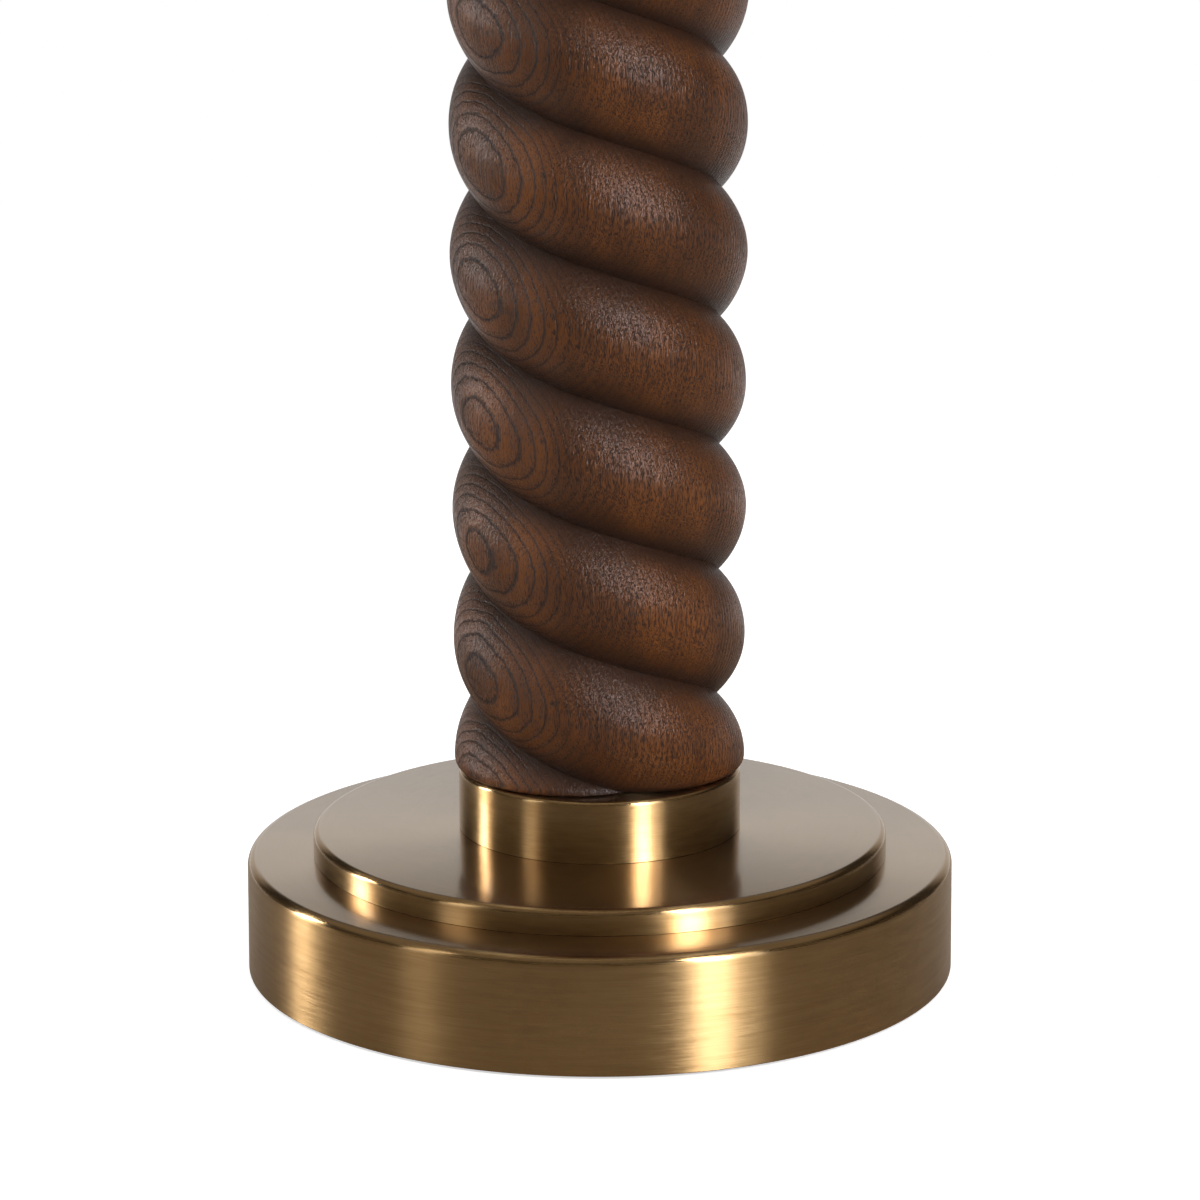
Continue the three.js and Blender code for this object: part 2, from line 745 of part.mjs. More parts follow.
/** The harp's centre line: straight feet, a belly on each side, and a straight stretch at the apex. */
function harpPath() {
  const belly = harpBelly - harpLegLength;
  const shoulder = harpHeight - harpBelly;
  const at = (x, z) => new THREE.Vector3(x, 0, z);
  const path = new THREE.CurvePath();
  path.add(new THREE.LineCurve3(at(-saddleHalfWidth, 0), at(-saddleHalfWidth, harpLegLength)));
  for (const side of [-1, 1]) {
    const swell = [
      at(side * saddleHalfWidth, harpLegLength),
      at(side * saddleHalfWidth, harpLegLength + harpBends.leg * belly),
      at(side * harpHalfWidth, harpBelly - harpBends.belly * belly),
      at(side * harpHalfWidth, harpBelly),
    ];
    const draw = [
      at(side * harpHalfWidth, harpBelly),
      at(side * harpHalfWidth, harpBelly + harpBends.rise * shoulder),
      at(side * (harpFlat + harpBends.apex * (harpHalfWidth - harpFlat)), harpHeight),
      at(side * harpFlat, harpHeight),
    ];
    const run = side < 0 ? [swell, draw] : [draw.reverse(), swell.reverse()];
    for (const points of run) path.add(new THREE.CubicBezierCurve3(...points));
    if (side < 0) path.add(new THREE.LineCurve3(at(-harpFlat, harpHeight), at(harpFlat, harpHeight)));
  }
  path.add(new THREE.LineCurve3(at(saddleHalfWidth, harpLegLength), at(saddleHalfWidth, 0)));
  return path;
}

/** Harp: the bent wire, and the boss on its apex. */
function harp() {
  const group = new THREE.Group();
  group.position.z = saddleArmTop + seatGap;
  addPiece(group, "harp_wire", wire(harpPath(), wireRadius, harpSides, harpSteps), antiqueBrass);
  const boss = ring(bossRadius, swivelPinRadius + boreGap, bossHeight, smallFacets);
  addPiece(group, "harp_boss", boss, antiqueBrass, harpHeight + wireRadius + seatGap);
  return group;
}

/** The sleeves that lock the harp's feet onto the saddle. */
function sleeves() {
  const group = new THREE.Group();
  for (const [name, side] of [["sleeve_left", -1], ["sleeve_right", 1]]) {
    const sleeve = ring(sleeveRadius, sleeveRadius - sleeveWall, sleeveHeight, fineFacets);
    const mesh = addPiece(group, name, sleeve, antiqueBrass, saddleArmTop - sleeveHeight / 2);
    mesh.position.x = side * saddleHalfWidth;
  }
  return group;
}

const bossTop = saddleArmTop + seatGap + harpHeight + wireRadius + seatGap + bossHeight;
const swivelFoot = bossTop + seatGap;
const hubFoot = swivelFoot + swivelShoulderHeight + seatGap;
const studTop = swivelFoot + swivelShoulderHeight + studLength;

/** Swivel: a pin in the boss, a shoulder that carries the shade, and the stud for the finial. */
function swivel() {
  const group = new THREE.Group();
  const pinLength = bossHeight;
  const stud = turned(
    [
      [0, -pinLength],
      [swivelPinRadius, -pinLength],
      [swivelPinRadius, 0],
      [swivelShoulderRadius, 0],
      [swivelShoulderRadius, swivelShoulderHeight],
      [studRadius, swivelShoulderHeight],
      [studRadius, swivelShoulderHeight + studLength],
      [0, swivelShoulderHeight + studLength],
    ],
    fineFacets,
  );
  addPiece(group, "swivel_stud", stud, antiqueBrass, swivelFoot);
  return group;
}

/** A thin tapered band whose outside follows the shade's slope, moved out or in. */
function band(from, to, outset, thickness, facets) {
  const radiusAt = (height) =>
    shadeFootRadius + ((shadeTopRadius - shadeFootRadius) * height) / shadeHeight + outset;
  return turned(
    [
      [radiusAt(from) - thickness, from],
      [radiusAt(from), from],
      [radiusAt(to), to],
      [radiusAt(to) - thickness, to],
    ],
    facets,
  );
}

/** Shade: spider frame, foot ring, linen cover, white liner and two trims. */
function shade() {
  const group = new THREE.Group();
  const shadeTop = hubFoot + hubThickness / 2 + shadeDrop + frameWireRadius;
  const shadeFoot = shadeTop - shadeHeight;
  group.position.z = shadeFoot;
  addPiece(group, "shade_cover", band(0, shadeHeight, 0, coverThickness, largeFacets), linen);
  const linerOut = -(coverThickness + seatGap);
  addPiece(group, "shade_liner", band(0, shadeHeight, linerOut, linerThickness, largeFacets), whiteSheet);
  const trimOut = trimThickness + seatGap;
  addPiece(group, "shade_foot_trim", band(0, trimHeight, trimOut, trimThickness, largeFacets), linen);
  const topTrim = band(shadeHeight - trimHeight, shadeHeight, trimOut, trimThickness, largeFacets);
  addPiece(group, "shade_top_trim", topTrim, linen);

  const wireInset = coverThickness + linerThickness + 2 * seatGap + frameWireRadius;
  const footRing = hoop(shadeFootRadius - wireInset - seatGap, frameWireRadius, largeFacets);
  addPiece(group, "shade_foot_ring", footRing, whiteFrame, frameWireRadius);

  const ringRadius = shadeTopRadius - wireInset;
  const ringHeight = shadeHeight - frameWireRadius;
  const hubHeight = hubFoot - shadeFoot;
  const topRing = hoop(ringRadius, frameWireRadius, largeFacets).translate(0, 0, ringHeight);
  const hub = ring(hubRadius, studRadius + boreGap, hubThickness, smallFacets).translate(0, 0, hubHeight);
  const armStart = (hubRadius + studRadius) / 2 + boreGap;
  const arms = Array.from({ length: armCount }, (_, i) => {
    const angle = (armTurn + (360 * i) / armCount) * degrees;
    const along = new THREE.Vector3(Math.cos(angle), Math.sin(angle), 0);
    const inner = along.clone().multiplyScalar(armStart).setZ(hubHeight + hubThickness / 2);
    const outer = along.clone().multiplyScalar(ringRadius).setZ(ringHeight);
    return wire(new THREE.LineCurve3(inner, outer), armWireRadius, frameSides, 1);
  });
  addPiece(group, "shade_spider", join(topRing, hub, ...arms), whiteFrame);
  return group;
}

/** Finial: a flange, a short neck, a ball and a tip, with a blind hole for the stud. */
function finial() {
  const group = new THREE.Group();
  const finialFoot = hubFoot + hubThickness + seatGap;
  const holeDepth = studTop - finialFoot + seatGap;
  const ballFootAngle = -55;
  const ballTopAngle = 72;
  const tipTop = holeDepth + finialBallRadius + finialTipHeight;
  const profile = turned(
    [
      [0, holeDepth],
      [studRadius + boreGap, holeDepth],
      [studRadius + boreGap, 0],
      [finialFlangeRadius, 0],
      [finialFlangeRadius, finialFlangeHeight],
      [finialNeckRadius, 2 * finialFlangeHeight],
      ...arc(0, holeDepth, finialBallRadius, ballFootAngle, ballTopAngle, 2 * edgeSteps),
      ...arc(0, tipTop - finialTipRadius, finialTipRadius, 0, 90).slice(0, -1),
      [0, tipTop],
    ],
    smallFacets,
  );
  addPiece(group, "finial", profile, antiqueBrass, finialFoot);
  return group;
}

const lamp = new THREE.Group();
lamp.add(foot(), column(), head(), holder(), turnKnob(), bulb());
lamp.add(harp(), sleeves(), swivel(), shade(), finial());

export default lamp;
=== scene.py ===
"""Builds the looks of a table lamp: a rope-twist wood column on a stepped brass foot, under a drum shade.

Lengths are metres in the frame's axes: +Z up, with the front towards -Y. Sizes that a piece shares
with its solid are read from the frame, and the others are fields of the piece's class.
"""

import logging
import math
from collections.abc import Callable, Sequence
from dataclasses import dataclass
from enum import Enum, IntEnum

import bpy
import numpy as np
from mathutils import Euler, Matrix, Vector
from numpy.typing import NDArray


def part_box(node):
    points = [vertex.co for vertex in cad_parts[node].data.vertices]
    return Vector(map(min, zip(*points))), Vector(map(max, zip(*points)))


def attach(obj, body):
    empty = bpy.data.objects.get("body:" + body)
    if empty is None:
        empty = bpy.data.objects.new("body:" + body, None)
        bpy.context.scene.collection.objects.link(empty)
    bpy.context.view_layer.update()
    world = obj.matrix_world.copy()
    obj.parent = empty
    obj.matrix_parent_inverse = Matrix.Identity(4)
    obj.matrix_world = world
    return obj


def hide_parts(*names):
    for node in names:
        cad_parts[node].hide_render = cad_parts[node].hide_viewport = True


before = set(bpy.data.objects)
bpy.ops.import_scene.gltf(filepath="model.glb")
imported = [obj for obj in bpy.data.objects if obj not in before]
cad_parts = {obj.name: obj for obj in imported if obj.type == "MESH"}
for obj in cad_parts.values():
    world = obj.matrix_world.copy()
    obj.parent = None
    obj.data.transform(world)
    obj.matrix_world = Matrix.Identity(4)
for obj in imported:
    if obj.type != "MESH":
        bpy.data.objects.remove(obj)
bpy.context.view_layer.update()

Array = NDArray[np.float64]
Relief = Callable[[Array, Array], Array]
Colour = tuple[float, float, float]
Socket = bpy.types.NodeSocket
Piece = bpy.types.Object

log = logging.getLogger("table_lamp")

FULL_TURN = 2 * math.pi
MM = 0.001
ALONG_MAP = "along"
# The gap that a solid leaves under itself, and how much of it a finished piece comes down by.
SEAT_GAP = 0.3 * MM
SEAT_DROP = 0.27 * MM
# The angle in degrees past which an edge is sharp.
CREASE = 34.0
# The size of the ring inside a swept piece's flat end, as a share of its section.
END_RING = 0.8


class Body(Enum):
    """The bodies that pieces ride on."""

    LAMP = "lamp"
    SWITCH = "switch"
    BULB = "bulb"
    HARP = "harp"
    LEFT_SLEEVE = "left_sleeve"
    RIGHT_SLEEVE = "right_sleeve"
    SWIVEL = "swivel"
    SHADE = "shade"
    FINIAL = "shade_finial"


class Ends(Enum):
    """How the first and last rows of a surface's points close it."""

    POLES = "each shrinks to one point"
    LOOP = "the last row joins the first"


class Axis(Enum):
    """The line that a turned piece is turned about."""

    UP = "+Z"
    FORWARD = "-Y"
    BACK = "+Y"


class Segments(IntEnum):
    """How many segments go round a turned piece, by its width."""

    TINY = 48
    SMALL = 72
    MEDIUM = 96
    LARGE = 128
    WIDE = 144
    BROAD = 192


@dataclass(frozen=True)
class Room:
    """The space that one solid of the frame takes."""

    low: Vector
    high: Vector

    @classmethod
    def of(cls, node: str) -> "Room":
        """The room of a named node."""
        return cls(*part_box(node))

    @property
    def radius(self) -> float:
        """Half the larger of its two widths."""
        return max(self.high.x - self.low.x, self.high.y - self.low.y) / 2

    @property
    def height(self) -> float:
        """Its size along Z."""
        return self.high.z - self.low.z

    @property
    def centre(self) -> Vector:
        """The middle of its box."""
        return (self.low + self.high) / 2

    def lowered(self, drop: float) -> "Room":
        """The same room with its foot brought down, so that a piece closes the gap to what it stands on."""
        return Room(self.low - Vector((0, 0, drop)), self.high)


def rounded(corners: Sequence[tuple[float, ...]], closed: bool = True, steps: int = 6) -> Array:
    """An outline whose corners are rounded by arcs.

    A corner with an edge radius e gives way to the arc of that radius that touches both of its sides:
    the arc's centre lies on the corner's bisector at e over the sine of half the angle between the sides.

    Args:
        corners: (radius, height) or (radius, height, edge radius) for each corner, in order.
        closed: whether the last corner joins the first.
        steps: spans in each arc.

    Returns:
        The outline's points, one (radius, height) row each.
    """
    flat = np.array([corner[:2] for corner in corners], float)
    edges = [corner[2] if len(corner) > 2 else 0.0 for corner in corners]
    runs = []
    for i, (corner, edge) in enumerate(zip(flat, edges)):
        at_end = not closed and i in (0, len(flat) - 1)
        if edge <= 0 or at_end:
            runs.append(corner[None])
            continue
        before = flat[i - 1] - corner
        after = flat[(i + 1) % len(flat)] - corner
        before /= np.linalg.norm(before)
        after /= np.linalg.norm(after)
        half = math.acos(float(np.clip(before @ after, -1, 1))) / 2
        middle = corner + (before + after) / np.linalg.norm(before + after) * edge / math.sin(half)
        start = corner + before * edge / math.tan(half) - middle
        end = corner + after * edge / math.tan(half) - middle
        sweep = math.pi - 2 * half
        share = np.linspace(0, 1, steps + 1)[:, None]
        from_start = start * np.sin((1 - share) * sweep)
        from_end = end * np.sin(share * sweep)
        runs.append(middle + (from_start + from_end) / math.sin(sweep))
    return np.concatenate(runs)


def grid_piece(name: str, points: Array, ends: Ends, crease: float = CREASE) -> Piece:
    """A closed mesh object from a grid of points whose rows are closed rings.

    Each cell of the grid becomes a face, and a row that shrinks to a point closes with triangles. The
    grid is turned round where the volume that its faces enclose comes out negative, so that they point
    outwards. The UV map runs along the rows in metres, and round them in shares of a turn.

    Args:
        name: the object's name.
        points: rows by columns by three.
        ends: how the first and last rows close.
        crease: the angle in degrees past which an edge is sharp.

    Returns:
        The new object, linked to the scene.
    """
    rows, columns = points.shape[:2]
    cells = rows if ends is Ends.LOOP else rows - 1
    number = np.arange(rows * columns).reshape(rows, columns)
    if ends is Ends.POLES:
        number[0] = number[0, 0]
        number[-1] = number[-1, 0]
    row = np.arange(cells)[:, None]
    column = np.arange(columns)[None, :]
    next_row = (row + 1) % rows
    next_column = (column + 1) % columns

    def corners_of(grid: Array) -> Array:
        """The four corners of each cell.

        Args:
            grid: a value for each point.

        Returns:
            The values of each cell's corners, in order round it.
        """
        near = [grid[row, column], grid[row, next_column]]
        beyond = [grid[next_row, next_column], grid[next_row, column]]
        return np.stack(near + beyond, 2)

    corner = corners_of(points)
    fans = np.cross(corner[:, :, 1], corner[:, :, 2]) + np.cross(corner[:, :, 2], corner[:, :, 3])
    if (corner[:, :, 0] * fans).sum() < 0:
        points = points[:, ::-1]
    corner_number = corners_of(number)
    steps = np.linalg.norm(np.diff(points, axis=0, append=points[:1]), axis=2).mean(1)
    along = np.concatenate([[0.0], np.cumsum(steps)])
    low, high, left, right = np.broadcast_arrays(
        along[row], along[row + 1], column / columns, (column + 1) / columns
    )
    corner_uv = np.stack(
        [np.stack(pair, -1) for pair in ((low, left), (low, right), (high, right), (high, left))], 2
    )
    if ends is Ends.POLES:
        quads, first, last = slice(1, -1), [0, 2, 3], [0, 1, 2]
        threes = np.concatenate([corner_number[0][:, first], corner_number[-1][:, last]])
        threes_uv = np.concatenate([corner_uv[0][:, first], corner_uv[-1][:, last]])
    else:
        quads = slice(None)
        threes, threes_uv = np.zeros((0, 3), int), np.zeros((0, 3, 2))
    fours = corner_number[quads].reshape(-1, 4)
    loops = np.concatenate([fours.ravel(), threes.ravel()])
    loop_uv = np.concatenate([corner_uv[quads].reshape(-1), threes_uv.reshape(-1)])
    starts = np.concatenate([4 * np.arange(len(fours)), 4 * len(fours) + 3 * np.arange(len(threes))])
    used, loops = np.unique(loops, return_inverse=True)

    mesh = bpy.data.meshes.new(name)
    mesh.vertices.add(len(used))
    mesh.vertices.foreach_set("co", points.reshape(-1, 3)[used].astype(np.float32).ravel())
    mesh.loops.add(len(loops))
    mesh.loops.foreach_set("vertex_index", loops.astype(np.int32).ravel())
    mesh.polygons.add(len(starts))
    mesh.polygons.foreach_set("loop_start", starts.astype(np.int32))
    mesh.update(calc_edges=True)
    uv_map = mesh.uv_layers.new(name=ALONG_MAP)
    uv_map.data.foreach_set("uv", loop_uv.astype(np.float32))
    mesh.validate()
    smooth(mesh, crease)
    piece = bpy.data.objects.new(name, mesh)
    bpy.context.scene.collection.objects.link(piece)
    return piece


def smooth(mesh: bpy.types.Mesh, crease: float) -> None:
    """Shades a mesh smooth, apart from edges past an angle in degrees."""
    mesh.shade_smooth()
    mesh.set_sharp_from_angle(angle=math.radians(crease))


def turned_points(profile: Array, segments: int, relief: Relief | None = None) -> Array:
    """The surface of a profile turned about Z.

    A profile point (r, h) at angle a becomes (r cos a, r sin a, h), and the columns start at the back.
    Relief adds to r as a function of the angle and the height.

    Args:
        profile: rows of (radius, height).
        segments: columns round the turn.
        relief: the radial offset at (angle, height), or None.

    Returns:
        Rows by segments by three.
    """
    angle = np.arange(segments)[None, :] * FULL_TURN / segments + math.pi / 2
    radius = np.broadcast_to(profile[:, :1], (len(profile), segments)).copy()
    height = np.broadcast_to(profile[:, 1:], (len(profile), segments))
    if relief is not None:
        radius += np.where(radius > 0, relief(np.broadcast_to(angle, radius.shape), height), 0)
    return np.stack([radius * np.cos(angle), radius * np.sin(angle), height], -1)


def aimed(points: Array, axis: Axis, origin: Sequence[float]) -> Array:
    """Points made about Z from the origin, moved so that Z lies along an axis through a place.

    Args:
        points: any array whose last axis is x, y, z.
        axis: where +Z goes.
        origin: where the origin goes.

    Returns:
        The moved points.
    """
    x, y, z = np.moveaxis(points, -1, 0)
    turned_to = {Axis.UP: (x, y, z), Axis.FORWARD: (x, -z, y), Axis.BACK: (x, z, -y)}[axis]
    return np.stack(turned_to, -1) + np.array(origin, float)


def turned(
    name: str,
    profile: Array,
    ends: Ends,
    segments: int,
    relief: Relief | None = None,
    axis: Axis = Axis.UP,
    origin: Sequence[float] = (0.0, 0.0, 0.0),
) -> Piece:
    """A turned piece: a profile turned about an axis.

    Args:
        name: the object's name.
        profile: rows of (radius, height).
        ends: LOOP for a closed profile, POLES for one that starts and ends on the axis.
        segments: columns round the turn.
        relief: the radial offset at (angle, height), or None.
        axis: the line that it is turned about.
        origin: where the profile's own origin goes.

    Returns:
        The new object.
    """
    return grid_piece(name, aimed(turned_points(profile, segments, relief), axis, origin), ends)


def swept_points(path: Array, section: Array, across: Sequence[float]) -> Array:
    """The surface of a section carried along a flat path, with both ends closed.

    At each point of the path the section's first axis lies along the path's normal, which is the cross
    product of the fixed direction across the path's plane and the tangent, and its second axis along
    that direction. Each end closes flat, over a smaller ring and a ring shrunk to the path.

    Args:
        path: rows of x, y, z.
        section: rows of (along the normal, across the plane).
        across: the unit vector square to the path's plane.

    Returns:
        Rows by columns by three.
    """
    tangent = np.gradient(path, axis=0)
    tangent /= np.linalg.norm(tangent, axis=1)[:, None]
    sideways = np.array(across, float)
    normal = np.cross(sideways, tangent)
    ring = section[None, :, :1] * normal[:, None, :] + section[None, :, 1:] * sideways
    scale = np.ones(len(path) + 4)
    scale[[0, -1]] = 0
    scale[[1, -2]] = END_RING
    places = np.concatenate([[0, 0], np.arange(len(path)), [len(path) - 1] * 2])
    return path[places][:, None] + ring[places] * scale[:, None, None]


def round_section(radius: float, sides: int) -> Array:
    """A circle as a section's rows."""
    angle = np.arange(sides) * FULL_TURN / sides
    return radius * np.stack([np.cos(angle), np.sin(angle)], -1)


def bezier(controls: Sequence[Sequence[float]], steps: int) -> Array:
    """Points on a cubic curve with four control points, without its last point.

    The point at share t is the sum of the controls weighted by the cubic Bernstein polynomials.

    Args:
        controls: the start, its handle, the end's handle and the end.
        steps: how many points.

    Returns:
        Rows of x, y, z.
    """
    share = np.arange(steps)[:, None] / steps
    start, first, second, end = (np.array(point, float) for point in controls)
    rest = 1 - share
    return rest**3 * start + 3 * rest**2 * share * first + 3 * rest * share**2 * second + share**3 * end


def joined(name: str, parts: Sequence[Piece]) -> Piece:
    """One object that holds the meshes of several, which are removed.

    Args:
        name: the object's name.
        parts: objects at the origin, all with the same UV map.

    Returns:
        The new object.
    """
    with bpy.context.temp_override(active_object=parts[0], selected_editable_objects=list(parts)):
        bpy.ops.object.join()
    parts[0].name = name
    parts[0].data.name = name
    return parts[0]


def drilled(piece: Piece, radius: float, length: float, axis: Axis, origin: Sequence[float]) -> None:
    """Cuts a round hole into a piece.

    Args:
        piece: the object to cut.
        radius: the hole's radius.
        length: the hole's length.
        axis: its direction.
        origin: where it starts.
    """
    profile = np.array([(0, 0), (radius, 0), (radius, length), (0, length)], float)
    drill = turned("drill", profile, Ends.POLES, Segments.TINY, axis=axis, origin=origin)
    cut = piece.modifiers.new("hole", "BOOLEAN")
    cut.operation = "DIFFERENCE"
    cut.solver = "EXACT"
    cut.object = drill
    bpy.context.view_layer.update()
    shaped = bpy.data.meshes.new_from_object(piece.evaluated_get(bpy.context.evaluated_depsgraph_get()))
    piece.modifiers.clear()
    piece.data = shaped
    smooth(shaped, CREASE)
    bpy.data.objects.remove(drill)


class Graph:
    """Adds nodes to a node tree, sets their inputs and links them."""

    def __init__(self, tree: bpy.types.NodeTree) -> None:
        """Takes the tree that the nodes go into."""
        self.tree = tree

    def node(self, kind: str, inputs: dict | None = None, **settings: object) -> bpy.types.Node:
        """Adds one node.

        Args:
            kind: the node's type name.
            inputs: a value or an output socket for each input, by name or number.
            settings: the node's own properties.

        Returns:
            The node.
        """
        made = self.tree.nodes.new(kind)
        for key, value in settings.items():
            setattr(made, key, value)
        for key, value in (inputs or {}).items():
            if isinstance(value, Socket):
                self.tree.links.new(value, made.inputs[key])
            else:
                made.inputs[key].default_value = value
        return made

    def math(self, operation: str, *values: Socket | float, clamp: bool = False) -> Socket:
        """The result of an operation on up to three numbers."""
        made = self.node("ShaderNodeMath", dict(enumerate(values)), operation=operation, use_clamp=clamp)
        return made.outputs[0]

    def stretch(self, vector: Socket, by: Sequence[float]) -> Socket:
        """A vector multiplied by another, component by component."""
        made = self.node("ShaderNodeVectorMath", {0: vector, 1: tuple(by)}, operation="MULTIPLY")
        return made.outputs[0]

    def band(
        self,
        value: Socket,
        low: float,
        high: float,
        to_low: float | Socket = 0.0,
        to_high: float | Socket = 1.0,
    ) -> Socket:
        """A value carried smoothly from one range to another, and held at its ends.

        Args:
            value: the value.
            low: the start of its own range.
            high: the end of its own range.
            to_low: what it becomes at and below the start.
            to_high: what it becomes at and above the end.

        Returns:
            The carried value.
        """
        made = self.node(
            "ShaderNodeMapRange",
            {"Value": value, "From Min": low, "From Max": high, "To Min": to_low, "To Max": to_high},
            interpolation_type="SMOOTHSTEP",
        )
        return made.outputs["Result"]

    def noise(
        self, vector: Socket, scale: float | Socket, detail: float = 2.0, roughness: float = 0.5
    ) -> Socket:
        """Smooth noise from about 0 to 1.

        Args:
            vector: the place.
            scale: its count in a metre.
            detail: how many finer layers it has.
            roughness: how strong each finer layer is.

        Returns:
            The noise's value.
        """
        made = self.node(
            "ShaderNodeTexNoise",
            {"Vector": vector, "Scale": scale, "Detail": detail, "Roughness": roughness},
            noise_dimensions="3D",
        )
        return made.outputs["Fac"]

    def mix(
        self, share: Socket | float, a: Socket | Colour, b: Socket | Colour, blend: str = "MIX"
    ) -> Socket:
        """Two colours mixed by a share.

        Args:
            share: how much of the second.
            a: the first colour.
            b: the second colour.
            blend: how the second is laid over the first.

        Returns:
            The mixed colour.
        """
        made = self.node("ShaderNodeMix", data_type="RGBA", blend_type=blend)
        for index, value in ((0, share), (6, a), (7, b)):
            if isinstance(value, Socket):
                self.tree.links.new(value, made.inputs[index])
            else:
                made.inputs[index].default_value = (*value, 1.0) if index else value
        return made.outputs[2]

    def placed(self, group: bpy.types.NodeTree, inputs: dict) -> bpy.types.Node:
        """Places a node group in the tree.

        Args:
            group: the group.
            inputs: a value or an output socket for each of its inputs.

        Returns:
            The group's node.
        """
        made = self.tree.nodes.new("ShaderNodeGroup")
        made.node_tree = group
        for key, value in inputs.items():
            if isinstance(value, Socket):
                self.tree.links.new(value, made.inputs[key])
            else:
                made.inputs[key].default_value = value
        return made


def new_group(
    name: str, inputs: dict[str, float | None], outputs: Sequence[str]
) -> tuple[Graph, Sequence[Socket], Sequence[Socket]]:
    """Starts a shader node group.

    Args:
        name: the group's name.
        inputs: the start value of each number input, or None for a vector input.
        outputs: the names of its number outputs.

    Returns:
        The group's graph, its input node's sockets and its output node's sockets.
    """
    tree = bpy.data.node_groups.new(name, "ShaderNodeTree")
    for key, value in inputs.items():
        kind = "NodeSocketVector" if value is None else "NodeSocketFloat"
        socket = tree.interface.new_socket(key, in_out="INPUT", socket_type=kind)
        if value is not None:
            socket.default_value = value
    for key in outputs:
        tree.interface.new_socket(key, in_out="OUTPUT", socket_type="NodeSocketFloat")
    graph = Graph(tree)
    source = graph.node("NodeGroupInput").outputs
    target = graph.node("NodeGroupOutput").inputs
    return graph, source, target


def spun_brushing() -> bpy.types.NodeTree:
    """The fine lines that brushing leaves on spun metal, round the object's Z axis.

    The noise reads the direction from the axis, times Reach, which shortens the lines as it grows, and
    height less radius, times Lines, their count per metre. So lines run round walls, edges and tops.

    Returns:
        A group with the outputs Fine, Broad and Cloud, each from about 0 to 1.
    """
    name = "spun_brushing"
    if name in bpy.data.node_groups:
        return bpy.data.node_groups[name]
    graph, source, target = new_group(
        name, {"Vector": None, "Lines": 3500.0, "Reach": 5.0}, ("Fine", "Broad", "Cloud")
    )
    split = graph.node("ShaderNodeSeparateXYZ", {0: source["Vector"]}).outputs
    flat = graph.stretch(source["Vector"], (1, 1, 0))
    radius = graph.node("ShaderNodeVectorMath", {0: flat}, operation="LENGTH").outputs["Value"]
    ray = graph.node("ShaderNodeVectorMath", {0: flat}, operation="NORMALIZE").outputs[0]
    rise = graph.math("SUBTRACT", split["Z"], radius)
    lines = graph.math("MULTIPLY", rise, source["Lines"])
    for key, reach, count in (("Fine", 1.0, 1.0), ("Broad", 0.45, 0.16)):
        size = graph.math("MULTIPLY", source["Reach"], reach)
        spread = graph.node("ShaderNodeVectorMath", {0: ray, "Scale": size}, operation="SCALE").outputs[0]
        parts = graph.node("ShaderNodeSeparateXYZ", {0: spread}).outputs
        counted = graph.math("MULTIPLY", lines, count)
        place = graph.node("ShaderNodeCombineXYZ", {0: parts["X"], 1: parts["Y"], 2: counted}).outputs[0]
        graph.tree.links.new(graph.noise(place, 1.0, 3.0, 0.6), target[key])
    graph.tree.links.new(graph.noise(source["Vector"], 38.0, 3.0, 0.55), target["Cloud"])
    return graph.tree


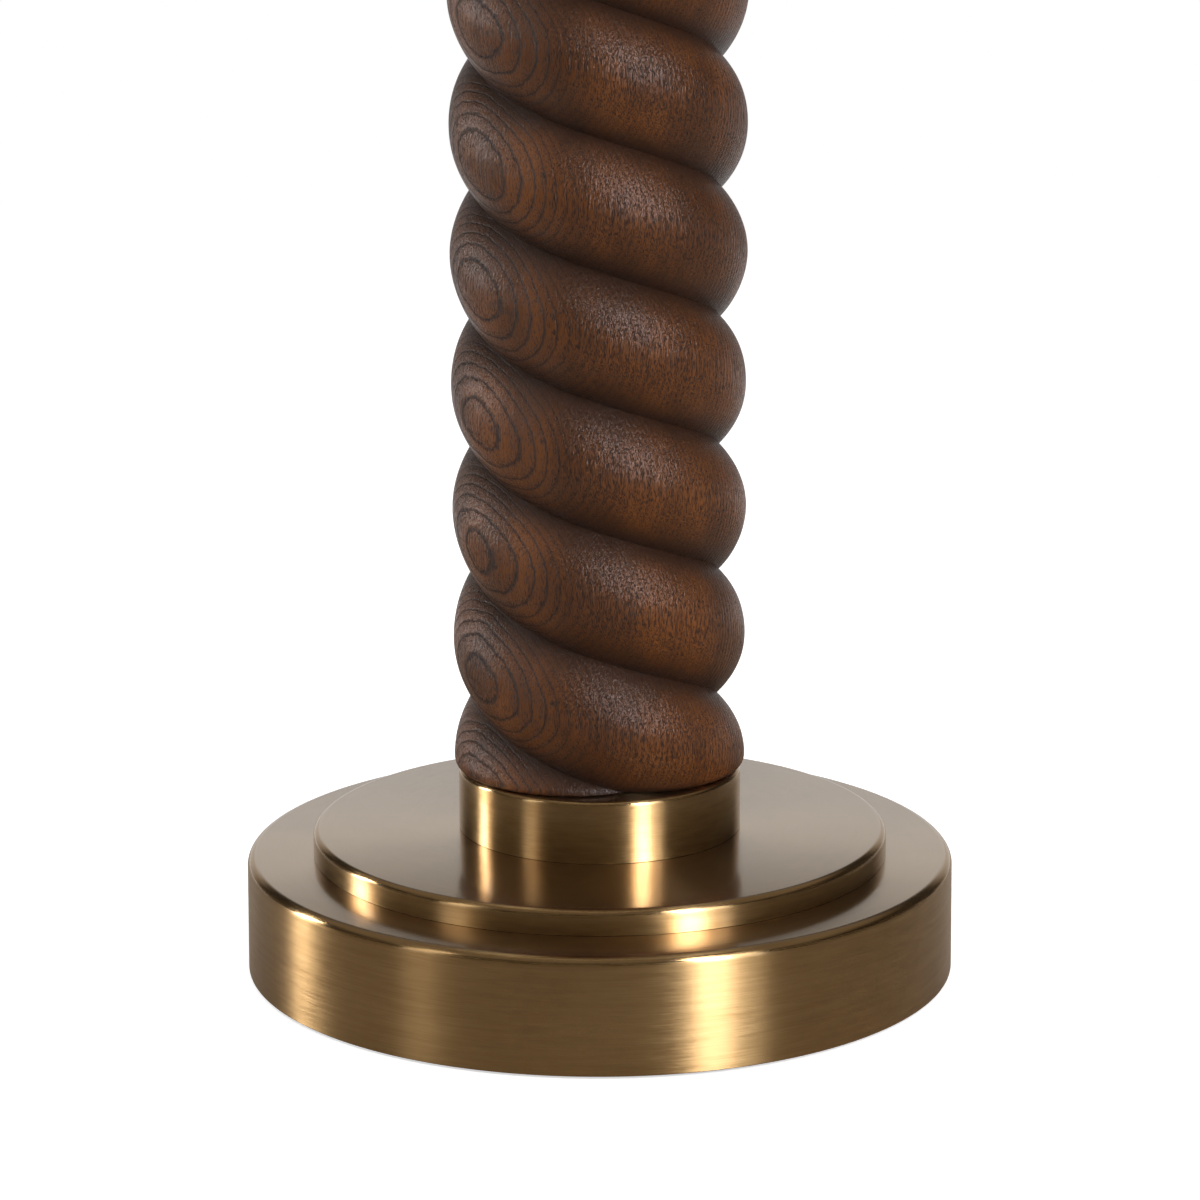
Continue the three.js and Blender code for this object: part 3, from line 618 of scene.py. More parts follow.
def wood_grain() -> bpy.types.NodeTree:
    """Ring-porous grain in a solid block whose rings are round a far pith and whose pores run along Z.

    The ring number is the distance from the pith's line, bent by slow noise, over the ring spacing. A
    ring's line is where the number's fraction nears one, and the pores, noise drawn out along Z and cut
    at a level, are thickest just beyond it.

    Returns:
        A group with the outputs Rings, Pores, Tone and Fibre, each from about 0 to 1.
    """
    name = "wood_grain"
    if name in bpy.data.node_groups:
        return bpy.data.node_groups[name]
    graph, source, target = new_group(
        name,
        {
            "Vector": None,
            "Pith Distance": 0.16,
            "Spacing": 0.0014,
            "Wander": 0.0030,
            "Pore Count": 5600.0,
            "Pore Share": 0.0,
        },
        ("Rings", "Pores", "Tone", "Fibre"),
    )
    slow = graph.noise(graph.stretch(source["Vector"], (1, 1, 0.35)), 38.0, 2.0, 0.5)
    shiver = graph.noise(graph.stretch(source["Vector"], (1, 1, 0.4)), 620.0, 3.0, 0.65)
    split = graph.node("ShaderNodeSeparateXYZ", {0: source["Vector"]}).outputs
    out = graph.math("ADD", split["X"], source["Pith Distance"])
    place = graph.node("ShaderNodeCombineXYZ", {0: out, 1: split["Y"]}).outputs[0]
    distance = graph.node("ShaderNodeVectorMath", {0: place}, operation="LENGTH").outputs["Value"]
    bent = graph.math("MULTIPLY_ADD", slow, source["Wander"], distance)
    ragged = graph.math("MULTIPLY_ADD", shiver, 0.0006, bent)
    share = graph.math("FRACT", graph.math("DIVIDE", ragged, source["Spacing"]))
    rise = graph.band(share, 0.70, 0.92)
    fall = graph.band(share, 0.96, 1.0, 1.0, 0.0)
    pits = graph.noise(graph.stretch(source["Vector"], (1, 1, 0.10)), source["Pore Count"], 2.0, 0.6)
    line = graph.math("MULTIPLY", graph.math("MULTIPLY", rise, fall), graph.band(pits, 0.35, 0.6, 0.6, 1.0))
    graph.tree.links.new(line, target["Rings"])
    early = graph.band(share, 0.0, 0.55, 0.05, 0.0)
    late = graph.math("MULTIPLY_ADD", line, 0.05, early)
    crowded = graph.math("ADD", graph.math("ADD", pits, late), source["Pore Share"])
    graph.tree.links.new(graph.band(crowded, 0.56, 0.64), target["Pores"])
    clouds = graph.stretch(source["Vector"], (1, 1, 0.3))
    graph.tree.links.new(graph.noise(clouds, 60.0, 3.0, 0.6), target["Tone"])
    fibres = graph.stretch(source["Vector"], (1, 1, 0.08))
    graph.tree.links.new(graph.noise(fibres, 1500.0, 3.0, 0.6), target["Fibre"])
    return graph.tree


def plain_weave() -> bpy.types.NodeTree:
    """A plain weave with uneven threads, on a vector that counts threads along and across.

    Each thread is a ridge, the absolute sine of pi times its count, and the two sets take turns on top
    where the product of both sines changes sign. Slubs are noise drawn out along the threads.

    Returns:
        A group with the outputs Height and Slub, each from about 0 to 1.
    """
    name = "plain_weave"
    if name in bpy.data.node_groups:
        return bpy.data.node_groups[name]
    graph, source, target = new_group(name, {"Vector": None}, ("Height", "Slub"))
    split = graph.node("ShaderNodeSeparateXYZ", {0: source["Vector"]}).outputs
    waves, ridges = [], []
    for key in ("X", "Y"):
        turns = graph.math("MULTIPLY", split[key], math.pi)
        waves.append(graph.math("SINE", turns))
        ridges.append(graph.math("ABSOLUTE", waves[-1]))
    over = graph.math("GREATER_THAN", graph.math("MULTIPLY", *waves), 0.0)
    first = graph.math("MULTIPLY", ridges[0], over)
    second = graph.math("MULTIPLY", ridges[1], graph.math("SUBTRACT", 1.0, over))
    graph.tree.links.new(graph.math("ADD", first, second), target["Height"])
    warp = graph.noise(graph.stretch(source["Vector"], (0.02, 0.9, 1)), 1.0, 2.0, 0.6)
    weft = graph.noise(graph.stretch(source["Vector"], (0.9, 0.02, 1)), 1.0, 2.0, 0.6)
    graph.tree.links.new(graph.math("MULTIPLY", graph.math("ADD", warp, weft), 0.5), target["Slub"])
    return graph.tree


@dataclass(frozen=True)
class Finish:
    """A finish: a material built once, and the slot that it belongs to.

    Uneven is the share by which its colour darkens in places, and stray how far its roughness goes up
    and down. Clouds and grain are the counts in a metre of its slow and fine changes, and depth is how
    deep the fine ones go.
    """

    name: str
    slot: str
    colour: Colour
    roughness: float = 0.5
    uneven: float = 0.28
    stray: float = 0.06
    clouds: float = 60.0
    grain: float = 1500.0
    depth: float = 0.02 * MM

    def material(self) -> bpy.types.Material:
        """The material, built the first time that it is asked for.

        Returns:
            The material.
        """
        name = self.name + "_finish"
        if name in bpy.data.materials:
            return bpy.data.materials[name]
        made = bpy.data.materials.new(name)
        made.use_nodes = True
        made.node_tree.nodes.clear()
        graph = Graph(made.node_tree)
        plain = {"Base Color": (*self.colour, 1), "Roughness": self.roughness}
        shader = graph.node("ShaderNodeBsdfPrincipled", plain)
        output = graph.node("ShaderNodeOutputMaterial", {"Surface": shader.outputs[0]})
        output.is_active_output = True
        made.diffuse_color = (*self.colour, 1)
        self.shade(graph, shader)
        return made

    def shade(self, graph: Graph, shader: bpy.types.Node) -> None:
        """Adds what the finish does to the plain shader: slow changes of tone and a faint grain.

        Args:
            graph: the material's graph.
            shader: its Principled BSDF.
        """
        place = graph.node("ShaderNodeTexCoord").outputs["Object"]
        cloud = graph.noise(place, self.clouds, 4.0, 0.6)
        darker = tuple((1 - self.uneven) * part for part in self.colour)
        graph.tree.links.new(graph.mix(cloud, darker, self.colour), shader.inputs["Base Color"])
        rough = graph.band(cloud, 0.2, 0.8, self.roughness - self.stray, self.roughness + self.stray)
        graph.tree.links.new(rough, shader.inputs["Roughness"])
        self.bump(graph, shader, graph.noise(place, self.grain, 2.0, 0.5), self.depth)

    @staticmethod
    def bump(graph: Graph, shader: bpy.types.Node, height: Socket, depth: float) -> None:
        """Feeds the shader's normal from a height.

        Args:
            graph: the material's graph.
            shader: its Principled BSDF.
            height: the height, from 0 to 1.
            depth: what a height of 1 stands for, in metres.
        """
        made = graph.node("ShaderNodeBump", {"Height": height, "Distance": depth, "Strength": 1.0})
        graph.tree.links.new(made.outputs[0], shader.inputs["Normal"])


@dataclass(frozen=True)
class AntiqueBrass(Finish):
    """Brass with a brown patina, brushed round its axis and lacquered, most thickly on its flat tops.

    Bright is the colour between the patina's clouds. The top sheen share and colour make a paler colour
    painted on flat tops: a painted sheen that stands for the light they mirror.
    Lines and reach are the brushing's inputs, and centre and turn place its axis.
    """

    bright: Colour = (0.52, 0.342, 0.153)
    painted_top_sheen_colour: Colour = (0.50, 0.42, 0.32)
    painted_top_sheen: float = 0.2
    top_roughness: float = 0.17
    centre: tuple[float, float, float] = (0.0, 0.0, 0.0)
    turn: tuple[float, float, float] = (0.0, 0.0, 0.0)
    lines: float = 4600.0
    reach: float = 9.0
    anisotropy: float = 1.0
    depth: float = 0.006 * MM
    lacquer: float = 0.3
    lacquer_roughness: float = 0.12

    def shade(self, graph: Graph, shader: bpy.types.Node) -> None:
        """Adds the brushing, which tones and roughens the metal and draws its highlights across the lines,
        and paints a paler sheen on the flat tops.

        Args:
            graph: the material's graph.
            shader: its Principled BSDF.
        """
        place = graph.node("ShaderNodeTexCoord").outputs["Object"]
        if any(self.centre) or any(self.turn):
            placing = {"Vector": place, "Location": self.centre, "Rotation": self.turn}
            place = graph.node("ShaderNodeMapping", placing, vector_type="TEXTURE").outputs[0]
        brushing = {"Vector": place, "Lines": self.lines, "Reach": self.reach}
        lines = graph.placed(spun_brushing(), brushing).outputs
        normal = graph.node("ShaderNodeNewGeometry").outputs["Normal"]
        upright = graph.math("ABSOLUTE", graph.node("ShaderNodeSeparateXYZ", {0: normal}).outputs["Z"])
        flat_top = graph.band(upright, 0.9, 1.0)
        depth = graph.band(upright, 0.75, 1.0, 1.0, 0.35)
        fine = graph.band(lines["Fine"], 0.3, 0.7, -0.2, 0.2)
        broad = graph.band(lines["Broad"], 0.3, 0.7, -0.16, 0.16)
        cloud = graph.band(lines["Cloud"], 0.3, 0.7, 0.3, 0.6)
        share = graph.math("MULTIPLY_ADD", graph.math("ADD", fine, broad), depth, cloud, clamp=True)
        metal = graph.mix(share, self.colour, self.bright)
        # Painted sheen: a paler colour mixed into flat tops, standing for the light they mirror.
        painted_top_sheen = graph.math("MULTIPLY", flat_top, self.painted_top_sheen)
        graph.tree.links.new(graph.mix(painted_top_sheen, metal, self.painted_top_sheen_colour), shader.inputs["Base Color"])
        level = graph.band(upright, 0.15, 0.6, self.roughness, self.top_roughness)
        uneven = graph.math("MULTIPLY", fine, depth)
        rough = graph.math("MULTIPLY_ADD", uneven, 0.4, level)
        graph.tree.links.new(rough, shader.inputs["Roughness"])
        coat = graph.band(flat_top, 0.0, 1.0, self.lacquer, 1.0)
        graph.tree.links.new(coat, shader.inputs["Coat Weight"])
        shader.inputs["Coat Roughness"].default_value = self.lacquer_roughness
        shader.inputs["Metallic"].default_value = 1.0
        shader.inputs["Anisotropic"].default_value = self.anisotropy
        tangent = graph.node("ShaderNodeTangent", direction_type="UV_MAP", uv_map=ALONG_MAP)
        graph.tree.links.new(tangent.outputs[0], shader.inputs["Tangent"])
        self.bump(graph, shader, lines["Fine"], self.depth)


@dataclass(frozen=True)
class PlainMetal(Finish):
    """Plated or cast metal on the hidden fittings."""

    uneven: float = 0.4
    stray: float = 0.08
    clouds: float = 90.0
    grain: float = 900.0
    depth: float = 0.03 * MM
    metallic: float = 1.0

    def shade(self, graph: Graph, shader: bpy.types.Node) -> None:
        """Adds a fine grain and slow changes of tone.

        Args:
            graph: the material's graph.
            shader: its Principled BSDF.
        """
        place = graph.node("ShaderNodeTexCoord").outputs["Object"]
        grain = graph.noise(place, self.grain, 4.0, 0.6)
        darker = tuple((1 - self.uneven) * part for part in self.colour)
        toned = graph.mix(graph.noise(place, self.clouds), darker, self.colour)
        graph.tree.links.new(toned, shader.inputs["Base Color"])
        rough = graph.band(grain, 0.25, 0.75, self.roughness - self.stray, self.roughness + self.stray)
        graph.tree.links.new(rough, shader.inputs["Roughness"])
        shader.inputs["Metallic"].default_value = self.metallic
        self.bump(graph, shader, grain, self.depth)


@dataclass(frozen=True)
class StainedWood(Finish):
    """Open-pored wood under a dark stain and a satin lacquer.

    Warm is the stain where it is thin, and line the colour of rings and pores. Groove is a darker colour
    painted between the groove's radius and the crest's: partly stain gathered in the grooves, partly
    painted shade. The layers are the two bands of the turned block, counted from the axis, where rings
    show as loops.
    """

    warm: Colour = (0.158, 0.0490, 0.0090)
    line: Colour = (0.009, 0.005, 0.0035)
    groove: Colour = (0.034, 0.014, 0.007)
    groove_radius: float = 29.8 * MM
    crest_radius: float = 35.2 * MM
    layer_turn: float = math.radians(-143.0)
    outer_layer: tuple[float, float] = (23 * MM, 33 * MM)
    inner_layer: tuple[float, float] = (-16 * MM, -4 * MM)
    looped_lines: float = 0.85
    plain_lines: float = 0.12
    plain_pores: float = 0.025
    depth: float = 0.36 * MM
    matt_gain: float = 0.3

    def shade(self, graph: Graph, shader: bpy.types.Node) -> None:
        """Adds the rings, the pores, the stain and painted shade in the grooves and the lacquer's sheen.

        Args:
            graph: the material's graph.
            shader: its Principled BSDF.
        """
        place = graph.node("ShaderNodeTexCoord").outputs["Object"]
        placing = {"Vector": place, "Rotation": (0, 0, self.layer_turn)}
        block = graph.node("ShaderNodeMapping", placing, vector_type="TEXTURE").outputs[0]
        out = graph.node("ShaderNodeSeparateXYZ", {0: block}).outputs["X"]
        outer = graph.band(out, *self.outer_layer)
        inner = graph.band(out, *self.inner_layer, 1.0, 0.0)
        plain = graph.math("SUBTRACT", 1.0, graph.math("MAXIMUM", outer, inner))
        crowding = graph.math("MULTIPLY", plain, self.plain_pores)
        grain = graph.placed(wood_grain(), {"Vector": block, "Pore Share": crowding}).outputs
        body = graph.mix(graph.band(grain["Tone"], 0.35, 0.68), self.colour, self.warm)
        strength = graph.band(plain, 0.0, 1.0, self.looped_lines, self.plain_lines)
        shown = graph.math("MULTIPLY", grain["Rings"], strength)
        body = graph.mix(shown, body, self.line)
        body = graph.mix(graph.math("MULTIPLY", grain["Pores"], 0.8), body, self.line)
        flat = graph.stretch(place, (1, 1, 0))
        radius = graph.node("ShaderNodeVectorMath", {0: flat}, operation="LENGTH").outputs["Value"]
        # Painted shade: the colour darkens from the crest down into the groove, partly stain and partly
        # shade.
        deep = graph.band(radius, self.groove_radius, self.crest_radius, 0.85, 0.0)
        graph.tree.links.new(graph.mix(deep, body, self.groove), shader.inputs["Base Color"])
        matt = graph.math("MAXIMUM", grain["Pores"], shown)
        rough = graph.math("MULTIPLY_ADD", matt, self.matt_gain, self.roughness)
        graph.tree.links.new(rough, shader.inputs["Roughness"])
        shader.inputs["Specular IOR Level"].default_value = 0.27
        pits = graph.math("MULTIPLY_ADD", shown, 0.35, grain["Pores"])
        height = graph.math("MULTIPLY_ADD", grain["Fibre"], 0.8, graph.math("MULTIPLY", pits, -1.0))
        self.bump(graph, shader, height, self.depth)


@dataclass(frozen=True)
class BareWood(Finish):
    """Plain turned wood, unstained."""

    depth: float = 0.04 * MM
    pith_distance: float = 0.03
    line: Colour = (0.30, 0.16, 0.07)

    def shade(self, graph: Graph, shader: bpy.types.Node) -> None:
        """Adds the same grain as the column's, in its own colours.

        Args:
            graph: the material's graph.
            shader: its Principled BSDF.
        """
        place = graph.node("ShaderNodeTexCoord").outputs["Object"]
        grain = graph.placed(wood_grain(), {"Vector": place, "Pith Distance": self.pith_distance}).outputs
        body = graph.mix(graph.math("MULTIPLY", grain["Rings"], 0.7), self.colour, self.line)
        graph.tree.links.new(graph.mix(grain["Pores"], body, self.line), shader.inputs["Base Color"])
        self.bump(graph, shader, grain["Fibre"], self.depth)


@dataclass(frozen=True)
class Felt(Finish):
    """Pressed felt: matted fibres with a soft sheen. Lint is how many times paler its lint is."""

    clouds: float = 260.0
    grain: float = 1400.0
    depth: float = 0.3 * MM
    lint: float = 2.2

    def shade(self, graph: Graph, shader: bpy.types.Node) -> None:
        """Adds matted fibres and lint.

        Args:
            graph: the material's graph.
            shader: its Principled BSDF.
        """
        place = graph.node("ShaderNodeTexCoord").outputs["Object"]
        mat = graph.noise(place, self.grain, 5.0, 0.7)
        lighter = tuple(min(1.0, self.lint * part) for part in self.colour)
        lint = graph.band(graph.noise(place, self.clouds, 4.0, 0.7), 0.45, 0.75)
        graph.tree.links.new(graph.mix(lint, self.colour, lighter), shader.inputs["Base Color"])
        shader.inputs["Sheen Weight"].default_value = 0.5
        shader.inputs["Sheen Roughness"].default_value = 0.4
        self.bump(graph, shader, mat, self.depth)


@dataclass(frozen=True)
class Linen(Finish):
    """Woven linen on a stiff backing.

    Pitch is from thread to thread, and the round run is the girth that one turn of the map stands for.
    The seam line is the width of the painted shadow line at the lap, as a share of a turn.
    """

    depth: float = 0.18 * MM
    thread: Colour = (0.66, 0.60, 0.49)
    shadow: Colour = (0.30, 0.26, 0.20)
    pitch: float = 0.6 * MM
    round_run: float = 1.16
    seam_line: float = 0.0004

    def shade(self, graph: Graph, shader: bpy.types.Node) -> None:
        """Adds the weave with painted shade between its threads, the threads' slubs and the painted shadow
        line at the lap, on the piece's own map.

        Args:
            graph: the material's graph.
            shader: its Principled BSDF.
        """
        place = graph.node("ShaderNodeUVMap", uv_map=ALONG_MAP).outputs[0]
        counted = graph.stretch(place, (1 / self.pitch, round(self.round_run / self.pitch), 1))
        weave = graph.placed(plain_weave(), {"Vector": counted}).outputs
        tone = graph.mix(graph.band(weave["Slub"], 0.35, 0.65), self.thread, self.colour)
        # Painted shade: the colour darkens where the weave is low, between the threads.
        weave_gap_shade = graph.band(weave["Height"], 0.0, 0.5, 0.25, 0.0)
        woven = graph.mix(weave_gap_shade, tone, self.thread, "MULTIPLY")
        off = graph.math("PINGPONG", graph.node("ShaderNodeSeparateXYZ", {0: place}).outputs["Y"], 0.5)
        # Painted shadow: a dark line along the lap's edge, in the shadow colour.
        lap = graph.band(off, 0.3 * self.seam_line, self.seam_line, 0.8, 0.0)
        graph.tree.links.new(graph.mix(lap, woven, self.shadow), shader.inputs["Base Color"])
        shader.inputs["Sheen Weight"].default_value = 0.25
        lift = graph.math("MULTIPLY_ADD", weave["Height"], 0.6, weave["Slub"])
        self.bump(graph, shader, lift, self.depth)


@dataclass(frozen=True)
class FrostedGlass(Finish):
    """Glass frosted on the inside."""

    stray: float = 0.05
    grain: float = 400.0

    def shade(self, graph: Graph, shader: bpy.types.Node) -> None:
        """Lets light through, with a faint unevenness in the frosting.

        Args:
            graph: the material's graph.
            shader: its Principled BSDF.
        """
        place = graph.node("ShaderNodeTexCoord").outputs["Object"]
        frost = graph.noise(place, self.grain, 4.0, 0.6)
        rough = graph.band(frost, 0.3, 0.7, self.roughness - self.stray, self.roughness + self.stray)
        graph.tree.links.new(rough, shader.inputs["Roughness"])
        shader.inputs["Transmission Weight"].default_value = 0.55
        shader.inputs["IOR"].default_value = 1.45
        shader.inputs["Coat Weight"].default_value = 0.6
        shader.inputs["Coat Roughness"].default_value = 0.05


BROWN = (0.36, 0.216, 0.086)
BRASS = AntiqueBrass("antique_brass_spun", "antique_brass", BROWN, 0.36)
WIRE_BRASS = AntiqueBrass("antique_brass_wire", "antique_brass", BROWN, 0.36, reach=1.0, anisotropy=0.3)
WOOD = StainedWood("stained_wood", "stained_wood", (0.087, 0.0285, 0.0072), 0.31)
BUSH_WOOD = BareWood("bare_wood", "plain_wood", (0.5, 0.3, 0.15), 0.6)
FELT = Felt("dark_felt", "felt", (0.028, 0.026, 0.024), 0.95)
IRON = PlainMetal(
    "cast_iron", "cast_iron", (0.10, 0.10, 0.105), 0.6, metallic=0.8, grain=500.0, depth=0.2 * MM
)
STEEL = PlainMetal("zinc_steel", "zinc_steel", (0.55, 0.56, 0.57), 0.34)
CONTACT_BRASS = PlainMetal("contact_brass", "antique_brass", (0.50, 0.36, 0.16), 0.32)
ALUMINIUM = PlainMetal("bright_aluminium", "aluminium", (0.74, 0.75, 0.76), 0.26)
RUBBER = Finish("brown_rubber", "grommet_rubber", (0.05, 0.03, 0.018), 0.55)
PHENOLIC = Finish("moulded_phenolic", "phenolic", (0.028, 0.024, 0.021), 0.35)
FIBRE = Finish("insulating_paper", "fibre_paper", (0.50, 0.42, 0.30), 0.85)
LINEN = Linen("shade_linen", "linen", (0.80, 0.76, 0.67), 0.85)
TAPE = Linen("hem_tape", "linen", (0.78, 0.73, 0.63), 0.8, pitch=0.4 * MM)
SHEET = Finish("white_liner", "white_sheet", (0.86, 0.85, 0.81), 0.5, uneven=0.05)
WHITE_PAINT = Finish("white_paint", "white_wire", (0.78, 0.77, 0.73), 0.4, uneven=0.1)
GLASS = FrostedGlass("frosted_glass", "frosted_glass", (0.93, 0.92, 0.90), 0.35)


def dress(piece: Piece, body: Body, finish: Finish, *nodes: str) -> None:
    """Gives a new piece its material and body, and puts it in place of its solids.

    Args:
        piece: the new object.
        body: the body that it rides on.
        finish: its finish.
        nodes: the nodes that it stands for.
    """
    piece.data.materials.clear()
    piece.data.materials.append(finish.material())
    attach(piece, body.value)
    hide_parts(*nodes)
    triangles = sum(len(face.vertices) - 2 for face in piece.data.polygons)
    log.info("%s rides on %s, for %s, %d triangles", piece.name, body.value, ", ".join(nodes), triangles)


def dress_node(name: str, finish: Finish) -> None:
    """Gives a solid that stays its material.

    Args:
        name: the node's name.
        finish: its finish.
    """
    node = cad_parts[name]
    for holder in node.material_slots:
        holder.material = finish.material()
    log.info("%s stays, in %s", name, finish.name)


def thread(radius_step: float, pitch: float, low: float, high: float) -> Relief:
    """The relief of a rolled thread: a cosine wave that climbs one pitch in a turn and fades at its ends.

    Args:
        radius_step: the thread's depth.
        pitch: the rise in one turn.
        low: the height where it starts.
        high: the height where it ends.

    Returns:
        A function of angle and height that gives the radial offset.
    """

    def relief(angle: Array, height: Array) -> Array:
        """The offset: half the depth times the cosine less one, within the thread's ends.

        Args:
            angle: each point's angle.
            height: each point's height.

        Returns:
            Each point's radial offset.
        """
        wave = (np.cos(FULL_TURN * height / pitch - angle) - 1) / 2
        fade = np.clip((height - low) / pitch, 0, 1) * np.clip((high - height) / pitch, 0, 1)
        return radius_step * wave * fade

    return relief


def finely(profile: Array, longest: float) -> Array:
    """A profile with points added so that no span is longer than a given length.

    Args:
        profile: rows of (radius, height).
        longest: the longest span.

    Returns:
        The profile with the added points.
    """
    runs = []
    for start, end in zip(profile[:-1], profile[1:]):
        count = max(1, math.ceil(float(np.linalg.norm(end - start)) / longest))
        runs.append(start + (end - start) * np.arange(count)[:, None] / count)
    return np.concatenate([*runs, profile[-1:]])


def cup_profile(
    room: Room, hole: float, wall: float, edge: float, draft: float = 0.0, rim: float = 0.3 * MM
) -> Array:
    """The profile of a pressed cup with its mouth down and a hole in its top.

    Args:
        room: the solid's room.
        hole: the radius of the hole in the top.
        wall: the sheet's thickness.
        edge: the shoulder's outer radius.
        draft: how far the wall leans in.
        rim: the radius of the small edges.

    Returns:
        Rows of (radius, height).
    """
    foot, top, radius = room.low.z, room.high.z, room.radius
    return rounded(
        [
            (radius, foot, rim),
            (radius - draft, top, edge),
            (hole, top),
            (hole, top - wall),
            (radius - draft - wall, top - wall, edge / 3),
            (radius - wall, foot, rim),
        ],
        steps=10,
    )


class SubAssembly:
    """What the lamp's sub-assemblies share."""

    def build(self) -> None:
        """Builds the pieces."""

    def dress(self) -> None:
        """Gives the solids that stay their finishes, where there are any."""


@dataclass
class Foot(SubAssembly):
    """The stepped brass foot with its pad, weight, cord inlet and the fittings that hold it."""

    wall: float = 1.3 * MM
    pan_edge: float = 2.4 * MM
    pan_draft: float = 0.25 * MM
    pan_drop: float = 0.6 * MM
    step_edge: float = 1.9 * MM
    collar_edge: float = 1.3 * MM
    rim: float = 0.1 * MM
    hole: float = 5.2 * MM
    pad_edge: float = 0.8 * MM
    inlet_radius: float = 5.4 * MM
    inlet_depth: float = 6.0 * MM
    grommet_bore: float = 3.6 * MM
    grommet_segments: int = 64
    segments: int = 288

    def build(self) -> None:
        """Builds the pad, the pan, the step, the collar and the grommet."""
        pad = Room.of("felt_pad")
        outline = rounded(
            [
                (0, pad.low.z),
                (pad.radius, pad.low.z, self.pad_edge),
                (pad.radius, pad.high.z, self.pad_edge),
                (0, pad.high.z),
            ],
            closed=False,
        )
        dress(turned("felt_disc", outline, Ends.POLES, Segments.WIDE), Body.LAMP, FELT, "felt_pad")
        room = Room.of("base_pan").lowered(self.pan_drop)
        profile = cup_profile(room, self.hole, self.wall, self.pan_edge, self.pan_draft)
        pan = turned("brass_pan", profile, Ends.LOOP, self.segments)
        inlet = Room.of("cord_grommet")
        start = (0, room.radius - self.inlet_depth, inlet.centre.z)
        drilled(pan, self.inlet_radius, 2 * self.inlet_depth, Axis.BACK, start)
        dress(pan, Body.LAMP, BRASS, "base_pan")
        for name, node, edge in (
            ("brass_step", "base_step", self.step_edge),
            ("brass_collar", "base_collar", self.collar_edge),
        ):
            profile = cup_profile(Room.of(node).lowered(SEAT_DROP), self.hole, self.wall, edge, rim=self.rim)
            dress(turned(name, profile, Ends.LOOP, self.segments), Body.LAMP, BRASS, node)
        self.build_grommet(inlet)

    def build_grommet(self, inlet: Room) -> None:
        """Builds the grommet: a sleeve through the pan's wall with a rounded flange on each side.

        Args:
            inlet: the solid grommet's room.
        """
        depth = inlet.high.y - inlet.low.y
        flange = (inlet.high.z - inlet.low.z) / 2
        lip = 1.6 * MM
        neck = self.inlet_radius - 0.3 * MM
        profile = rounded(
            [
                (self.grommet_bore, 0, 0.5 * MM),
                (flange, 0, 0.6 * MM),
                (flange, lip, 0.5 * MM),
                (neck, lip),
                (neck, depth - lip),
                (flange, depth - lip, 0.5 * MM),
                (flange, depth, 0.7 * MM),
                (self.grommet_bore, depth, 0.7 * MM),
            ]
        )
        origin = (0, inlet.low.y, inlet.centre.z)
        grommet = turned(
            "rubber_grommet", profile, Ends.LOOP, self.grommet_segments, axis=Axis.BACK, origin=origin
        )
        dress(grommet, Body.LAMP, RUBBER, "cord_grommet")

    def dress(self) -> None:
        """Gives the hidden fittings their finishes."""
        dress_node("base_weight", IRON)
        for name in ("clamp_washer", "lock_washer", "foot_nut", "threaded_rod"):
            dress_node(name, STEEL)


